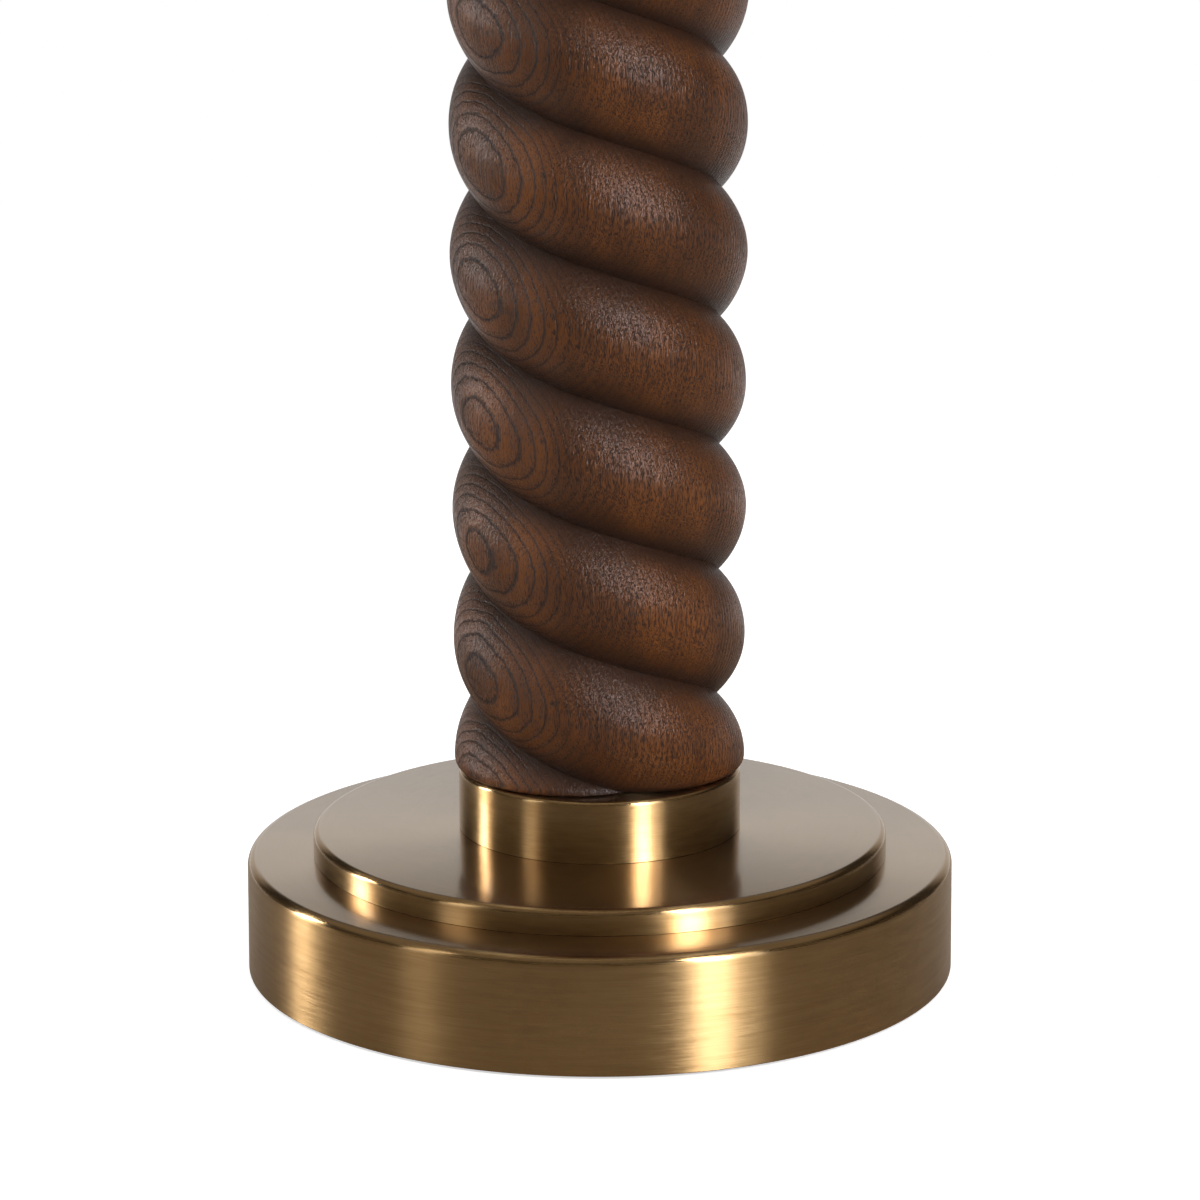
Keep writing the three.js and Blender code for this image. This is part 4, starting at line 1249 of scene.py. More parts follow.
@dataclass
class Column(SubAssembly):
    """The rope-twist column and its two bushes."""

    starts: int = 2
    lobes: int = 11
    groove_depth: float = 6.85 * MM
    crest_turn: float = math.radians(-166.5)
    edge: float = 2.6 * MM
    edge_draw: float = 2.0 * MM
    bore: float = 6.5 * MM
    unevenness: float = 0.12 * MM
    easing: float = 0.011
    slow_waves: tuple[int, int] = (37, 61)
    columns: int = 128
    rows: int = 700
    bore_rows: int = 16
    crease: float = 50.0

    def outside(self, room: Room) -> Array:
        """The twisted surface.

        At height z the crest of a strand lies at the crest turn less half a turn for each pitch climbed.
        The radius at an angle a from a crest is the crest radius less the sagitta of an arc as wide as the
        pitch and as deep as the groove, at the offset that a stands for along the height. Both ends are
        rounded by a quarter ellipse, towards which the rows are drawn closer, and slow sines make the
        carving a little uneven.

        Args:
            room: the solid column's room.

        Returns:
            Rows by columns by three.
        """
        pitch = room.height / self.lobes
        share = np.linspace(0, 1, self.rows)
        eased = share - self.easing * np.sin(FULL_TURN * share)
        height = (room.height * eased)[:, None]
        angle = (np.arange(self.columns) * FULL_TURN / self.columns)[None, :]
        lobe = angle * self.starts / FULL_TURN
        offset = (lobe - np.round(lobe)) * pitch
        arc = ((pitch / 2) ** 2 + self.groove_depth**2) / (2 * self.groove_depth)
        radius = room.radius - (arc - np.sqrt(arc**2 - offset**2))
        from_end = np.clip(np.minimum(height, room.height - height) / self.edge, 0, 1)
        radius = radius - self.edge_draw * (1 - np.sqrt(1 - (1 - from_end) ** 2))
        slow, quick = (count * height / room.height for count in self.slow_waves)
        wave = (np.sin(slow + 2 * angle) + np.sin(quick - angle)) / 2
        radius = radius + self.unevenness * wave * from_end - self.unevenness
        turn = angle + self.crest_turn - math.pi * height / pitch
        level = np.broadcast_to(room.low.z + height, turn.shape)
        return np.stack([radius * np.cos(turn), radius * np.sin(turn), level], -1)

    def bore_wall(self, room: Room) -> Array:
        """The bore, from the top down: a cylinder whose columns turn back by the twist's part turn.

        Args:
            room: the solid column's room.

        Returns:
            Rows by columns by three.
        """
        down = np.linspace(1, 0, self.bore_rows)[:, None]
        angle = (np.arange(self.columns) * FULL_TURN / self.columns)[None, :]
        twist = -math.pi * self.lobes % FULL_TURN
        turn = angle + self.crest_turn + twist * down
        height = np.broadcast_to(room.low.z + room.height * down, turn.shape)
        return np.stack([self.bore * np.cos(turn), self.bore * np.sin(turn), height], -1)

    def build(self) -> None:
        """Builds the column."""
        room = Room.of("wood_column").lowered(SEAT_DROP)
        points = np.concatenate([self.outside(room), self.bore_wall(room)])
        column = grid_piece("rope_twist_column", points, Ends.LOOP, self.crease)
        dress(column, Body.LAMP, WOOD, "wood_column")

    def dress(self) -> None:
        """Gives the bushes their finish."""
        for name in ("lower_bush", "upper_bush"):
            dress_node(name, BUSH_WOOD)


@dataclass
class Head(SubAssembly):
    """What sits on the column: its cap, the step, the neck, the harp's saddle and the nut on it."""

    wall: float = 1.4 * MM
    edge: float = 1.3 * MM
    hole: float = 5.2 * MM
    neck_waist: float = 7.4 * MM
    neck_cove: float = 3.6 * MM
    neck_flange: float = 2.2 * MM
    neck_rim: float = 2.2 * MM
    neck_flare: float = 2.0 * MM
    sheet: float = 1.6 * MM
    strip: float = 5.0 * MM
    bend: float = 3.8 * MM
    nut_flats: float = 14.0 * MM
    nut_chamfer: float = 0.7 * MM
    nut_slope: float = 1.7

    def build(self) -> None:
        """Builds the five pieces."""
        for name, node in (("brass_cap", "column_cap"), ("brass_cap_step", "cap_step")):
            profile = cup_profile(Room.of(node).lowered(SEAT_DROP), self.hole, self.wall, self.edge)
            dress(turned(name, profile, Ends.LOOP, Segments.BROAD), Body.LAMP, BRASS, node)
        self.build_neck()
        self.build_saddle()
        self.build_nut()

    def build_neck(self) -> None:
        """Builds the neck: a flange, a hollow up to the waist, and a flared rim."""
        room = Room.of("neck").lowered(SEAT_DROP)
        waist, low, high = self.neck_waist, room.low.z, room.high.z
        profile = rounded(
            [
                (self.hole, low),
                (room.radius, low, 0.3 * MM),
                (room.radius, low + self.neck_flange, 0.8 * MM),
                (waist + 0.2 * MM, low + self.neck_flange + 0.3 * MM, self.neck_cove),
                (waist, high - self.neck_rim - self.neck_flare, 2 * MM),
                (waist + self.neck_flare, high - self.neck_rim, 0.7 * MM),
                (waist + self.neck_flare, high, 0.5 * MM),
                (self.hole, high),
            ],
            steps=8,
        )
        dress(turned("brass_neck", profile, Ends.LOOP, Segments.MEDIUM), Body.LAMP, BRASS, "neck")

    def build_saddle(self) -> None:
        """Builds the saddle: a strip bent up at both ends, and the disc round its hole."""
        room = Room.of("harp_saddle")
        half = room.high.x - self.sheet / 2
        foot = room.low.z + self.sheet / 2
        bends = rounded(
            [(-half, room.high.z), (-half, foot, self.bend), (half, foot, self.bend), (half, room.high.z)],
            closed=False,
            steps=10,
        )
        path = np.stack([bends[:, 0], np.zeros(len(bends)), bends[:, 1]], -1)
        thick, wide = self.sheet / 2, self.strip / 2
        corner = 0.5 * MM
        signs = ((-1, -1), (1, -1), (1, 1), (-1, 1))
        section = rounded([(right * thick, up * wide, corner) for right, up in signs], steps=4)
        strip = grid_piece("saddle_strip", swept_points(path, section, (0, 1, 0)), Ends.POLES)
        disc_radius = (room.high.y - room.low.y) / 2
        disc = rounded(
            [
                (self.hole, room.low.z),
                (disc_radius, room.low.z, 0.4 * MM),
                (disc_radius, room.low.z + self.sheet, 0.4 * MM),
                (self.hole, room.low.z + self.sheet),
            ]
        )
        dress(
            joined("brass_saddle", [strip, turned("saddle_disc", disc, Ends.LOOP, Segments.SMALL)]),
            Body.LAMP,
            WIRE_BRASS,
            "harp_saddle",
        )

    def build_nut(self) -> None:
        """Builds the hexagon nut, whose corners are turned off above and below.

        The radius at an angle is half the width over the flats, divided by the cosine of the angle from
        the nearest flat's middle, and no more than the chamfer cone's at that height.
        """
        room = Room.of("saddle_nut")
        flats = self.nut_flats / 2
        corner = flats / math.cos(math.pi / 6)
        low, high = room.low.z, room.high.z
        outline = [(self.hole, low), (flats, low), (flats, high), (self.hole, high), (self.hole, low)]
        profile = finely(np.array(outline), 0.35 * MM)[:-1]

        def flats_round(angle: Array, height: Array) -> Array:
            """The offset from the circle inside the flats to the hexagon, under the chamfer's cone.

            Args:
                angle: each point's angle.
                height: each point's height.

            Returns:
                Each point's radial offset.
            """
            nearest = (angle + math.pi / 6) % (math.pi / 3) - math.pi / 6
            hexagon = flats / np.cos(nearest)
            from_face = np.minimum(height - low, high - height)
            cone = corner - np.maximum(self.nut_chamfer - from_face, 0) * self.nut_slope
            return np.minimum(hexagon, cone) - flats

        def relief(angle: Array, height: Array) -> Array:
            """The hexagon's offset, on the outside only."""
            outside = (profile[:, 0] > flats - 0.01 * MM)[:, None]
            return np.where(outside, flats_round(angle, height), 0)

        nut = turned("brass_nut", profile, Ends.LOOP, Segments.WIDE, relief)
        dress(nut, Body.LAMP, BRASS, "saddle_nut")


@dataclass
class Holder(SubAssembly):
    """The lamp holder: its cap and shell, and the parts inside.

    The bead's spread and the lip's start and end are counted in beads.
    """

    wall: float = 0.8 * MM
    boss: float = 8.0 * MM
    boss_height: float = 6.0 * MM
    cone_top: float = 13.5 * MM
    hole: float = 5.2 * MM
    shell_wall: float = 0.6 * MM
    bead: float = 1.1 * MM
    bead_height: float = 28.0 * MM
    bead_spread: float = 1.6
    lip_start: float = 2.4
    lip_end: float = 1.3
    stem_hole: float = 2.7 * MM
    stem_hole_start: float = 8.0 * MM
    stem_hole_length: float = 12.0 * MM
    screw_wall: float = 0.45 * MM
    screw_pitch: float = 3.63 * MM
    screw_depth: float = 0.25 * MM

    def build(self) -> None:
        """Builds the cap, the shell and the screw shell."""
        cap = Room.of("holder_cap")
        low, outer = cap.low.z, cap.radius
        profile = rounded(
            [
                (self.hole, low),
                (self.boss, low, 0.6 * MM),
                (self.boss, low + self.boss_height, 2.2 * MM),
                (outer, low + self.cone_top, 4 * MM),
                (outer, cap.high.z, 0.35 * MM),
                (outer - self.wall, cap.high.z, 0.3 * MM),
                (outer - self.wall, low + self.cone_top + self.wall / 2, 3 * MM),
                (self.boss + 0.5 * MM, low + self.boss_height + self.wall),
                (self.hole, low + self.boss_height + self.wall),
            ],
            steps=8,
        )
        dress(turned("brass_holder_cap", profile, Ends.LOOP, Segments.LARGE), Body.LAMP, BRASS, "holder_cap")
        self.build_shell()
        self.build_screw_shell()

    def build_shell(self) -> None:
        """Builds the shell, with a bead round its middle, a rolled lip and the stem's hole."""
        room = Room.of("holder_shell")
        plain = room.radius - self.bead
        low, high, middle = room.low.z, room.high.z, room.low.z + self.bead_height
        profile = rounded(
            [
                (plain - self.shell_wall, low),
                (plain, low, 0.2 * MM),
                (plain, middle - self.bead_spread * self.bead, 0.6 * MM),
                (room.radius, middle, self.bead),
                (plain, middle + self.bead_spread * self.bead, 0.6 * MM),
                (plain, high - self.lip_start * self.bead, 0.5 * MM),
                (room.radius, high - self.lip_end * self.bead, 0.6 * MM),
                (room.radius, high, 0.5 * MM),
                (plain - self.shell_wall, high, 0.5 * MM),
            ]
        )
        shell = turned("brass_holder_shell", profile, Ends.LOOP, Segments.LARGE)
        height = Room.of("switch_stem").centre.z
        start = (0, -self.stem_hole_start, height)
        drilled(shell, self.stem_hole, self.stem_hole_length, Axis.FORWARD, start)
        dress(shell, Body.LAMP, BRASS, "holder_shell")

    def build_screw_shell(self) -> None:
        """Builds the screw shell, a thin tube rolled into a thread."""
        room = Room.of("screw_shell")
        low, high = room.low.z, room.high.z
        outer = room.radius
        inner = outer - self.screw_wall
        outline = [(inner, low), (outer, low), (outer, high), (inner, high), (inner, low)]
        profile = finely(np.array(outline), 0.3 * MM)[:-1]
        relief = thread(self.screw_depth, self.screw_pitch, low, high)
        shell = turned("threaded_shell", profile, Ends.LOOP, Segments.MEDIUM, relief)
        dress(shell, Body.LAMP, ALUMINIUM, "screw_shell")

    def dress(self) -> None:
        """Gives the inner parts their finishes."""
        dress_node("holder_liner", FIBRE)
        dress_node("holder_body", PHENOLIC)
        dress_node("set_screw", STEEL)
        dress_node("terminal_screw_left", STEEL)
        dress_node("terminal_screw_right", CONTACT_BRASS)
        dress_node("centre_contact", CONTACT_BRASS)


@dataclass
class TurnKnob(SubAssembly):
    """The switch's stem and its knurled knob, which turn about -Y.

    The grip's start and end are shares of the knob's length.
    """

    flutes: int = 28
    flute_segments: int = 12
    flute_depth: float = 0.22 * MM
    grip_start: float = 0.2
    grip_end: float = 0.8
    chamfer: float = 1.6 * MM
    bore: float = 2.3 * MM
    seat: float = 6.3 * MM

    def build(self) -> None:
        """Builds the stem and the knob."""
        stem = Room.of("switch_stem")
        length = stem.high.y - stem.low.y
        radius = (stem.high.z - stem.low.z) / 2
        edge = 0.4 * MM
        outline = rounded([(0, 0), (radius, 0, edge), (radius, length, edge), (0, length)], closed=False)
        start = (0, stem.high.y, stem.centre.z)
        turn = (math.pi / 2, 0, 0)
        brass = AntiqueBrass(
            "antique_brass_knob", "antique_brass", BROWN, 0.4, centre=start, turn=turn, reach=2.0
        )
        piece = turned("brass_stem", outline, Ends.POLES, Segments.TINY, axis=Axis.FORWARD, origin=start)
        dress(piece, Body.SWITCH, brass, "switch_stem")
        knob = Room.of("switch_knob")
        radius = (knob.high.z - knob.low.z) / 2
        length = knob.high.y - knob.low.y
        grip = (self.grip_start * length, self.grip_end * length)
        profile = finely(
            rounded(
                [
                    (0, self.seat),
                    (self.bore, self.seat),
                    (self.bore, 0, 0.3 * MM),
                    (radius - self.chamfer, 0, 0.3 * MM),
                    (radius, self.chamfer, 0.6 * MM),
                    (radius, length - self.chamfer, 0.6 * MM),
                    (radius - self.chamfer, length, 0.8 * MM),
                    (0, length),
                ],
                closed=False,
            ),
            0.5 * MM,
        )
        outside = (profile[:, 0] > radius - 0.3 * MM)[:, None]

        def flutes(angle: Array, height: Array) -> Array:
            """A cosine of so many flutes round the knob, faded at the grip's ends.

            Args:
                angle: each point's angle.
                height: each point's height.

            Returns:
                Each point's radial offset.
            """
            rise = np.clip((height - grip[0]) / self.chamfer, 0, 1)
            fall = np.clip((grip[1] - height) / self.chamfer, 0, 1)
            flute = self.flute_depth * (np.cos(self.flutes * angle) - 1)
            return np.where(outside, flute * rise * fall, 0)

        start = (0, knob.high.y, knob.centre.z)
        segments = self.flutes * self.flute_segments
        piece = turned("brass_knob", profile, Ends.POLES, segments, flutes, Axis.FORWARD, start)
        dress(piece, Body.SWITCH, brass, "switch_knob")


@dataclass
class Bulb(SubAssembly):
    """The bulb: contact tip, insulator, threaded barrel and frosted envelope."""

    taper: float = 1.8 * MM
    insulator_foot: float = 5.5 * MM
    pitch: float = 3.63 * MM
    depth: float = 0.8 * MM
    neck: float = 12.4 * MM
    shoulder: float = 50.0 * MM
    wall: float = 0.8 * MM

    def build(self) -> None:
        """Builds the four pieces."""
        tip = Room.of("bulb_tip")
        outline = rounded(
            [(0, tip.low.z), (tip.radius, tip.low.z, 0.9 * MM), (tip.radius, tip.high.z), (0, tip.high.z)],
            closed=False,
        )
        dress(turned("solder_tip", outline, Ends.POLES, Segments.TINY), Body.BULB, STEEL, "bulb_tip")
        insulator = Room.of("bulb_insulator")
        outline = rounded(
            [
                (0, insulator.low.z),
                (self.insulator_foot, insulator.low.z, 0.6 * MM),
                (insulator.radius, insulator.high.z, 0.4 * MM),
                (0, insulator.high.z),
            ],
            closed=False,
        )
        piece = turned("black_insulator", outline, Ends.POLES, Segments.SMALL)
        dress(piece, Body.BULB, PHENOLIC, "bulb_insulator")
        barrel = Room.of("bulb_barrel")
        low, high = barrel.low.z, barrel.high.z
        outline = finely(
            rounded(
                [
                    (0, low),
                    (barrel.radius - self.taper, low, 0.4 * MM),
                    (barrel.radius, low + self.taper, 0.5 * MM),
                    (barrel.radius, high, 0.6 * MM),
                    (0, high),
                ],
                closed=False,
            ),
            0.4 * MM,
        )
        relief = thread(self.depth, self.pitch, low + self.taper / 2, high - self.pitch / 2)
        piece = turned("threaded_barrel", outline, Ends.POLES, Segments.MEDIUM, relief)
        dress(piece, Body.BULB, ALUMINIUM, "bulb_barrel")
        self.build_glass()

    def build_glass(self) -> None:
        """Builds the envelope: a half cosine from the neck to the shoulder, then a quarter circle."""
        room = Room.of("bulb_glass")
        share = np.arange(24) / 24
        swell = (1 - np.cos(math.pi * share)) / 2
        quarter = np.linspace(0, math.pi / 2, 25)

        def side(inset: float) -> Array:
            """The envelope's profile, moved in by an inset.

            Args:
                inset: how far it lies inside the outer face.

            Returns:
                Rows of (radius, height).
            """
            swollen = self.neck + (room.radius - self.neck) * swell
            neck = np.stack([swollen - inset, self.shoulder * share], -1)
            radius = room.radius - inset
            dome = np.stack([radius * np.cos(quarter), self.shoulder + radius * np.sin(quarter)], -1)
            dome[-1, 0] = 0
            return np.concatenate([neck, dome]) + (0, room.low.z)

        outline = np.concatenate([side(self.wall)[::-1], side(0.0)])
        dress(turned("glass_envelope", outline, Ends.POLES, Segments.MEDIUM), Body.BULB, GLASS, "bulb_glass")


@dataclass
class Harp(SubAssembly):
    """The harp: a bent wire, the boss on its apex, the sleeves on its feet and the swivel stud.

    The handles are the lengths of the curves' control arms, as shares of the rise or run that they span.
    """

    wire: float = 1.9 * MM
    sides: int = 24
    leg: float = 30.0 * MM
    belly: float = 108.0 * MM
    height: float = 196.0 * MM
    half_foot: float = 27.0 * MM
    half_belly: float = 56.0 * MM
    half_flat: float = 11.0 * MM
    leg_handle: float = 0.45
    belly_handle: float = 0.55
    rise_handle: float = 0.62
    apex_handle: float = 0.6
    sleeve_wall: float = 1.2 * MM
    boss_bore: float = 2.25 * MM
    pin: float = 1.9 * MM
    shoulder: float = 2.0 * MM
    stud: float = 3.1 * MM
    stud_pitch: float = 0.94 * MM
    stud_depth: float = 0.45 * MM

    def side(self) -> Array:
        """Half of the centre line, from the right foot up to the apex: a leg, two cubic curves and a flat.

        Returns:
            Rows of x, y, z, with the foot at height 0.
        """
        rise = self.belly - self.leg
        top = self.height - self.belly
        run = self.half_belly - self.half_flat
        leg = np.linspace((self.half_foot, 0, 0), (self.half_foot, 0, self.leg), 12)[:-1]
        swell = bezier(
            [
                (self.half_foot, 0, self.leg),
                (self.half_foot, 0, self.leg + self.leg_handle * rise),
                (self.half_belly, 0, self.belly - self.belly_handle * rise),
                (self.half_belly, 0, self.belly),
            ],
            40,
        )
        draw = bezier(
            [
                (self.half_belly, 0, self.belly),
                (self.half_belly, 0, self.belly + self.rise_handle * top),
                (self.half_flat + self.apex_handle * run, 0, self.height),
                (self.half_flat, 0, self.height),
            ],
            48,
        )
        flat = np.linspace((self.half_flat, 0, self.height), (0, 0, self.height), 8)
        return np.concatenate([leg, swell, draw, flat])

    def build(self) -> None:
        """Builds the wire, the boss, the sleeves and the stud."""
        foot = Room.of("harp_wire").low.z
        right = self.side()
        path = np.concatenate([right, right[-2::-1] * (-1, 1, 1)]) + (0, 0, foot)
        points = swept_points(path, round_section(self.wire, self.sides), (0, 1, 0))
        dress(grid_piece("brass_harp", points, Ends.POLES), Body.HARP, WIRE_BRASS, "harp_wire")
        boss = Room.of("harp_boss")
        profile = rounded(
            [
                (self.boss_bore, boss.low.z),
                (boss.radius, boss.low.z, 0.5 * MM),
                (boss.radius, boss.high.z, 0.7 * MM),
                (self.boss_bore, boss.high.z, 0.2 * MM),
            ]
        )
        dress(turned("brass_boss", profile, Ends.LOOP, Segments.SMALL), Body.HARP, BRASS, "harp_boss")
        for body, node in ((Body.LEFT_SLEEVE, "sleeve_left"), (Body.RIGHT_SLEEVE, "sleeve_right")):
            self.build_sleeve(body, node)
        self.build_stud()

    def build_sleeve(self, body: Body, node: str) -> None:
        """Builds one sleeve: a tube with a rolled bead at each end.

        Args:
            body: the body that it rides on.
            node: the solid that it stands for.
        """
        room = Room.of(node)
        radius = (room.high.y - room.low.y) / 2
        height, bead, drawn = room.height, 1.4 * MM, 0.5 * MM
        profile = rounded(
            [
                (radius - self.sleeve_wall, 0),
                (radius, 0, 0.5 * MM),
                (radius, bead, 0.4 * MM),
                (radius - drawn, bead + drawn, 0.4 * MM),
                (radius - drawn, height - bead - drawn, 0.4 * MM),
                (radius, height - bead, 0.4 * MM),
                (radius, height, 0.5 * MM),
                (radius - self.sleeve_wall, height),
            ]
        )
        centre = (room.centre.x, 0.0, room.low.z)
        brass = AntiqueBrass("antique_brass_" + node, "antique_brass", BROWN, 0.38, centre=centre, reach=2.0)
        dress(turned("brass_" + node, profile, Ends.LOOP, Segments.SMALL, origin=centre), body, brass, node)

    def build_stud(self) -> None:
        """Builds the swivel stud: a pin, a shoulder and a threaded end."""
        room = Room.of("swivel_stud")
        seat = Room.of("harp_boss").high.z + SEAT_GAP
        outline = finely(
            rounded(
                [
                    (0, room.low.z),
                    (self.pin, room.low.z, 0.3 * MM),
                    (self.pin, seat),
                    (room.radius, seat, 0.4 * MM),
                    (room.radius, seat + self.shoulder, 0.4 * MM),
                    (self.stud, seat + self.shoulder),
                    (self.stud, room.high.z, 0.5 * MM),
                    (0, room.high.z),
                ],
                closed=False,
            ),
            0.16 * MM,
        )
        relief = thread(self.stud_depth, self.stud_pitch, seat + self.shoulder + 0.4 * MM, room.high.z)
        threaded = (outline[:, 1] > seat + self.shoulder + 0.2 * MM)[:, None]

        def on_stud(angle: Array, height: Array) -> Array:
            """The thread's offset, on the stud only."""
            return np.where(threaded, relief(angle, height), 0)

        stud = turned("brass_stud", outline, Ends.POLES, Segments.TINY, on_stud)
        dress(stud, Body.SWIVEL, BRASS, "swivel_stud")


@dataclass
class Shade(SubAssembly):
    """The tapered drum shade: linen cover, white liner, hem tapes, foot ring and spider.

    A band's edges are rounded by the edge share of its thickness, and no span of it passes the longest.
    """

    cover: float = 0.9 * MM
    liner: float = 0.5 * MM
    tape: float = 0.5 * MM
    gap: float = 0.3 * MM
    wire: float = 1.6 * MM
    arm_wire: float = 1.45 * MM
    wire_sides: int = 16
    arms: int = 3
    arm_turn: float = math.radians(90.0)
    hub_radius: float = 11.0 * MM
    hub_bore: float = 3.45 * MM
    hub_height: float = 2.0 * MM
    hub_below_stud: float = 15.0 * MM
    arm_start: float = 8.0 * MM
    seam_width: float = 12.0 * MM
    seam_step: float = 0.25 * MM
    edge_share: float = 0.42
    longest: float = 12.0 * MM
    segments: int = 360

    def band(self, low: float, high: float, outset: float, thick: float) -> Array:
        """The profile of a thin band that follows the shade's slope.

        Args:
            low: its foot, as a height.
            high: its top, as a height.
            outset: how far its outer face stands out from the cover's.
            thick: its thickness.

        Returns:
            Rows of (radius, height).
        """
        room, top = Room.of("shade_cover"), Room.of("shade_top_trim")
        foot_radius = room.radius
        trim_low = top.radius - self.tape - self.gap
        slope = (trim_low - foot_radius) / (top.low.z - room.low.z)
        ends = [foot_radius + slope * (height - room.low.z) + outset for height in (low, high)]
        edge = self.edge_share * thick
        return finely(
            rounded(
                [
                    (ends[0] - thick, low, edge),
                    (ends[0], low, edge),
                    (ends[1], high, edge),
                    (ends[1] - thick, high, edge),
                ],
                steps=4,
            ),
            self.longest,
        )

    def cut(self, room: Room) -> tuple[tuple[float, float], float]:
        """The size that the cover's linen is cut to, laid flat.

        A cone's side opens into a ring sector. Its outer radius is the foot's radius over the sine of the
        cone's half angle, and it turns through a full turn times that sine. The seam's lap is added.

        Args:
            room: the solid cover's room.

        Returns:
            The sector's width and height, and its area.
        """
        profile = self.band(room.low.z, room.high.z, 0, self.cover)
        foot, top = room.radius, float(profile[profile[:, 1] > room.high.z - self.cover, 0].max())
        slant = math.hypot(foot - top, room.height)
        sine = (foot - top) / slant
        outer = foot / sine
        half_turn = math.pi * sine
        lap = self.seam_width * slant
        flat = (2 * outer * math.sin(half_turn), outer - (outer - slant) * math.cos(half_turn))
        return flat, math.pi * (foot + top) * slant + lap

    def build(self) -> None:
        """Builds the cover, the liner, the two tapes, the foot ring and the spider."""
        room = Room.of("shade_cover")
        low, high = room.low.z, room.high.z
        hem = Room.of("shade_foot_trim").height
        seam = self.seam_width / room.radius

        def lapped(angle: Array, height: Array) -> Array:
            """A low step where the cover laps over itself, from the back on, eased at both sides."""
            off = np.abs((angle - math.pi / 2 - seam / 2 + math.pi) % FULL_TURN - math.pi)
            return self.seam_step * np.clip((seam / 2 - off) / (seam / 10), 0, 1)

        cover = turned("linen_cover", self.band(low, high, 0, self.cover), Ends.LOOP, self.segments, lapped)
        dress(cover, Body.SHADE, LINEN, "shade_cover")
        inner = self.band(low, high, -self.cover - self.gap, self.liner)
        dress(turned("white_liner_sheet", inner, Ends.LOOP, self.segments), Body.SHADE, SHEET, "shade_liner")
        out = self.tape + self.gap
        tapes = []
        for name, node, foot in (
            ("foot_tape", "shade_foot_trim", low),
            ("top_tape", "shade_top_trim", high - hem),
        ):
            profile = self.band(foot, foot + hem, out, self.tape)
            tapes.append(turned(name, profile, Ends.LOOP, self.segments))
            dress(tapes[-1], Body.SHADE, TAPE, node)
        flat, area = self.cut(room)
        ring = Room.of("shade_foot_ring")
        hoop = round_section(self.wire, self.wire_sides) + (ring.radius - self.wire, ring.centre.z)
        dress(turned("foot_hoop", hoop, Ends.LOOP, self.segments), Body.SHADE, WHITE_PAINT, "shade_foot_ring")
        self.build_spider()

    def build_spider(self) -> None:
        """Builds the spider: a hoop, a hub on the stud and straight arms between them."""
        room = Room.of("shade_spider")
        hoop_radius, hoop_height = room.radius - self.wire, room.high.z - self.wire
        section = round_section(self.wire, self.wire_sides) + (hoop_radius, hoop_height)
        hoop = turned("spider_hoop", section, Ends.LOOP, self.segments)
        hub_low = Room.of("swivel_stud").high.z - self.hub_below_stud + self.gap
        hub_high = hub_low + self.hub_height
        hub = rounded(
            [
                (self.hub_bore, hub_low),
                (self.hub_radius, hub_low, 0.5 * MM),
                (self.hub_radius, hub_high, 0.5 * MM),
                (self.hub_bore, hub_high),
            ]
        )
        parts = [hoop, turned("spider_hub", hub, Ends.LOOP, Segments.MEDIUM)]
        ring = round_section(self.arm_wire, self.wire_sides)
        for i in range(self.arms):
            angle = self.arm_turn + FULL_TURN * i / self.arms
            along = np.array([math.cos(angle), math.sin(angle), 0])
            start = along * self.arm_start + (0, 0, (hub_low + hub_high) / 2)
            end = along * hoop_radius + (0, 0, hoop_height)
            across = (-math.sin(angle), math.cos(angle), 0)
            points = swept_points(np.linspace(start, end, 12), ring, across)
            parts.append(grid_piece(f"spider_arm_{i + 1}", points, Ends.POLES))
        dress(joined("wire_spider", parts), Body.SHADE, WHITE_PAINT, "shade_spider")


@dataclass
class Finial(SubAssembly):
    """The finial that holds the shade down: a flange, a ball and a tip over a blind hole.

    The ball's two angles are where it meets the neck and the tip, counted up from its widest line.
    """

    flange: float = 7.0 * MM
    flange_height: float = 1.6 * MM
    neck: float = 5.0 * MM
    bore: float = 3.45 * MM
    tip: float = 2.6 * MM
    tip_height: float = 3.5 * MM
    ball_low: float = math.radians(-55.0)
    ball_high: float = math.radians(72.0)

    def build(self) -> None:
        """Builds the finial."""
        room = Room.of("finial")
        low, high = room.low.z, room.high.z
        ball = high - self.tip_height - room.radius
        swing = np.linspace(self.ball_low, self.ball_high, 28)
        around = np.stack([room.radius * np.cos(swing), ball + room.radius * np.sin(swing)], -1)
        foot = rounded(
            [
                (0, ball),
                (self.bore, ball),
                (self.bore, low, 0.3 * MM),
                (self.flange, low, 0.5 * MM),
                (self.flange, low + self.flange_height, 0.7 * MM),
                (self.neck, low + 2 * self.flange_height),
            ],
            closed=False,
        )
        crown = np.radians(np.linspace(0, 90, 10))
        cap = np.stack([self.tip * np.cos(crown), high - self.tip + self.tip * np.sin(crown)], -1)
        cap[-1, 0] = 0
        outline = np.concatenate([foot, around, cap])
        dress(turned("brass_finial", outline, Ends.POLES, Segments.MEDIUM), Body.FINIAL, BRASS, "finial")


@dataclass
class Camera:
    """The photograph's camera: 1 m before the column, a little above the foot, looking down a little."""

    distance: float = 1.0
    height: float = 0.3354
    aside: float = 0.0007
    pitch: float = math.radians(13.606)
    roll: float = math.radians(0.12)
    lens: float = 123.84
    sensor: float = 36.0

    def build(self) -> None:
        """Makes the camera and gives it to the scene."""
        data = bpy.data.cameras.new("camera")
        data.sensor_width = self.sensor
        data.lens = self.lens
        data.clip_start, data.clip_end = 0.01, 100.0
        camera = bpy.data.objects.new("camera", data)
        camera.location = (self.aside, -self.distance, self.height)
        camera.rotation_euler = Euler((math.pi / 2 - self.pitch, self.roll, 0.0), "YXZ")
        bpy.context.scene.collection.objects.link(camera)
        bpy.context.scene.camera = camera


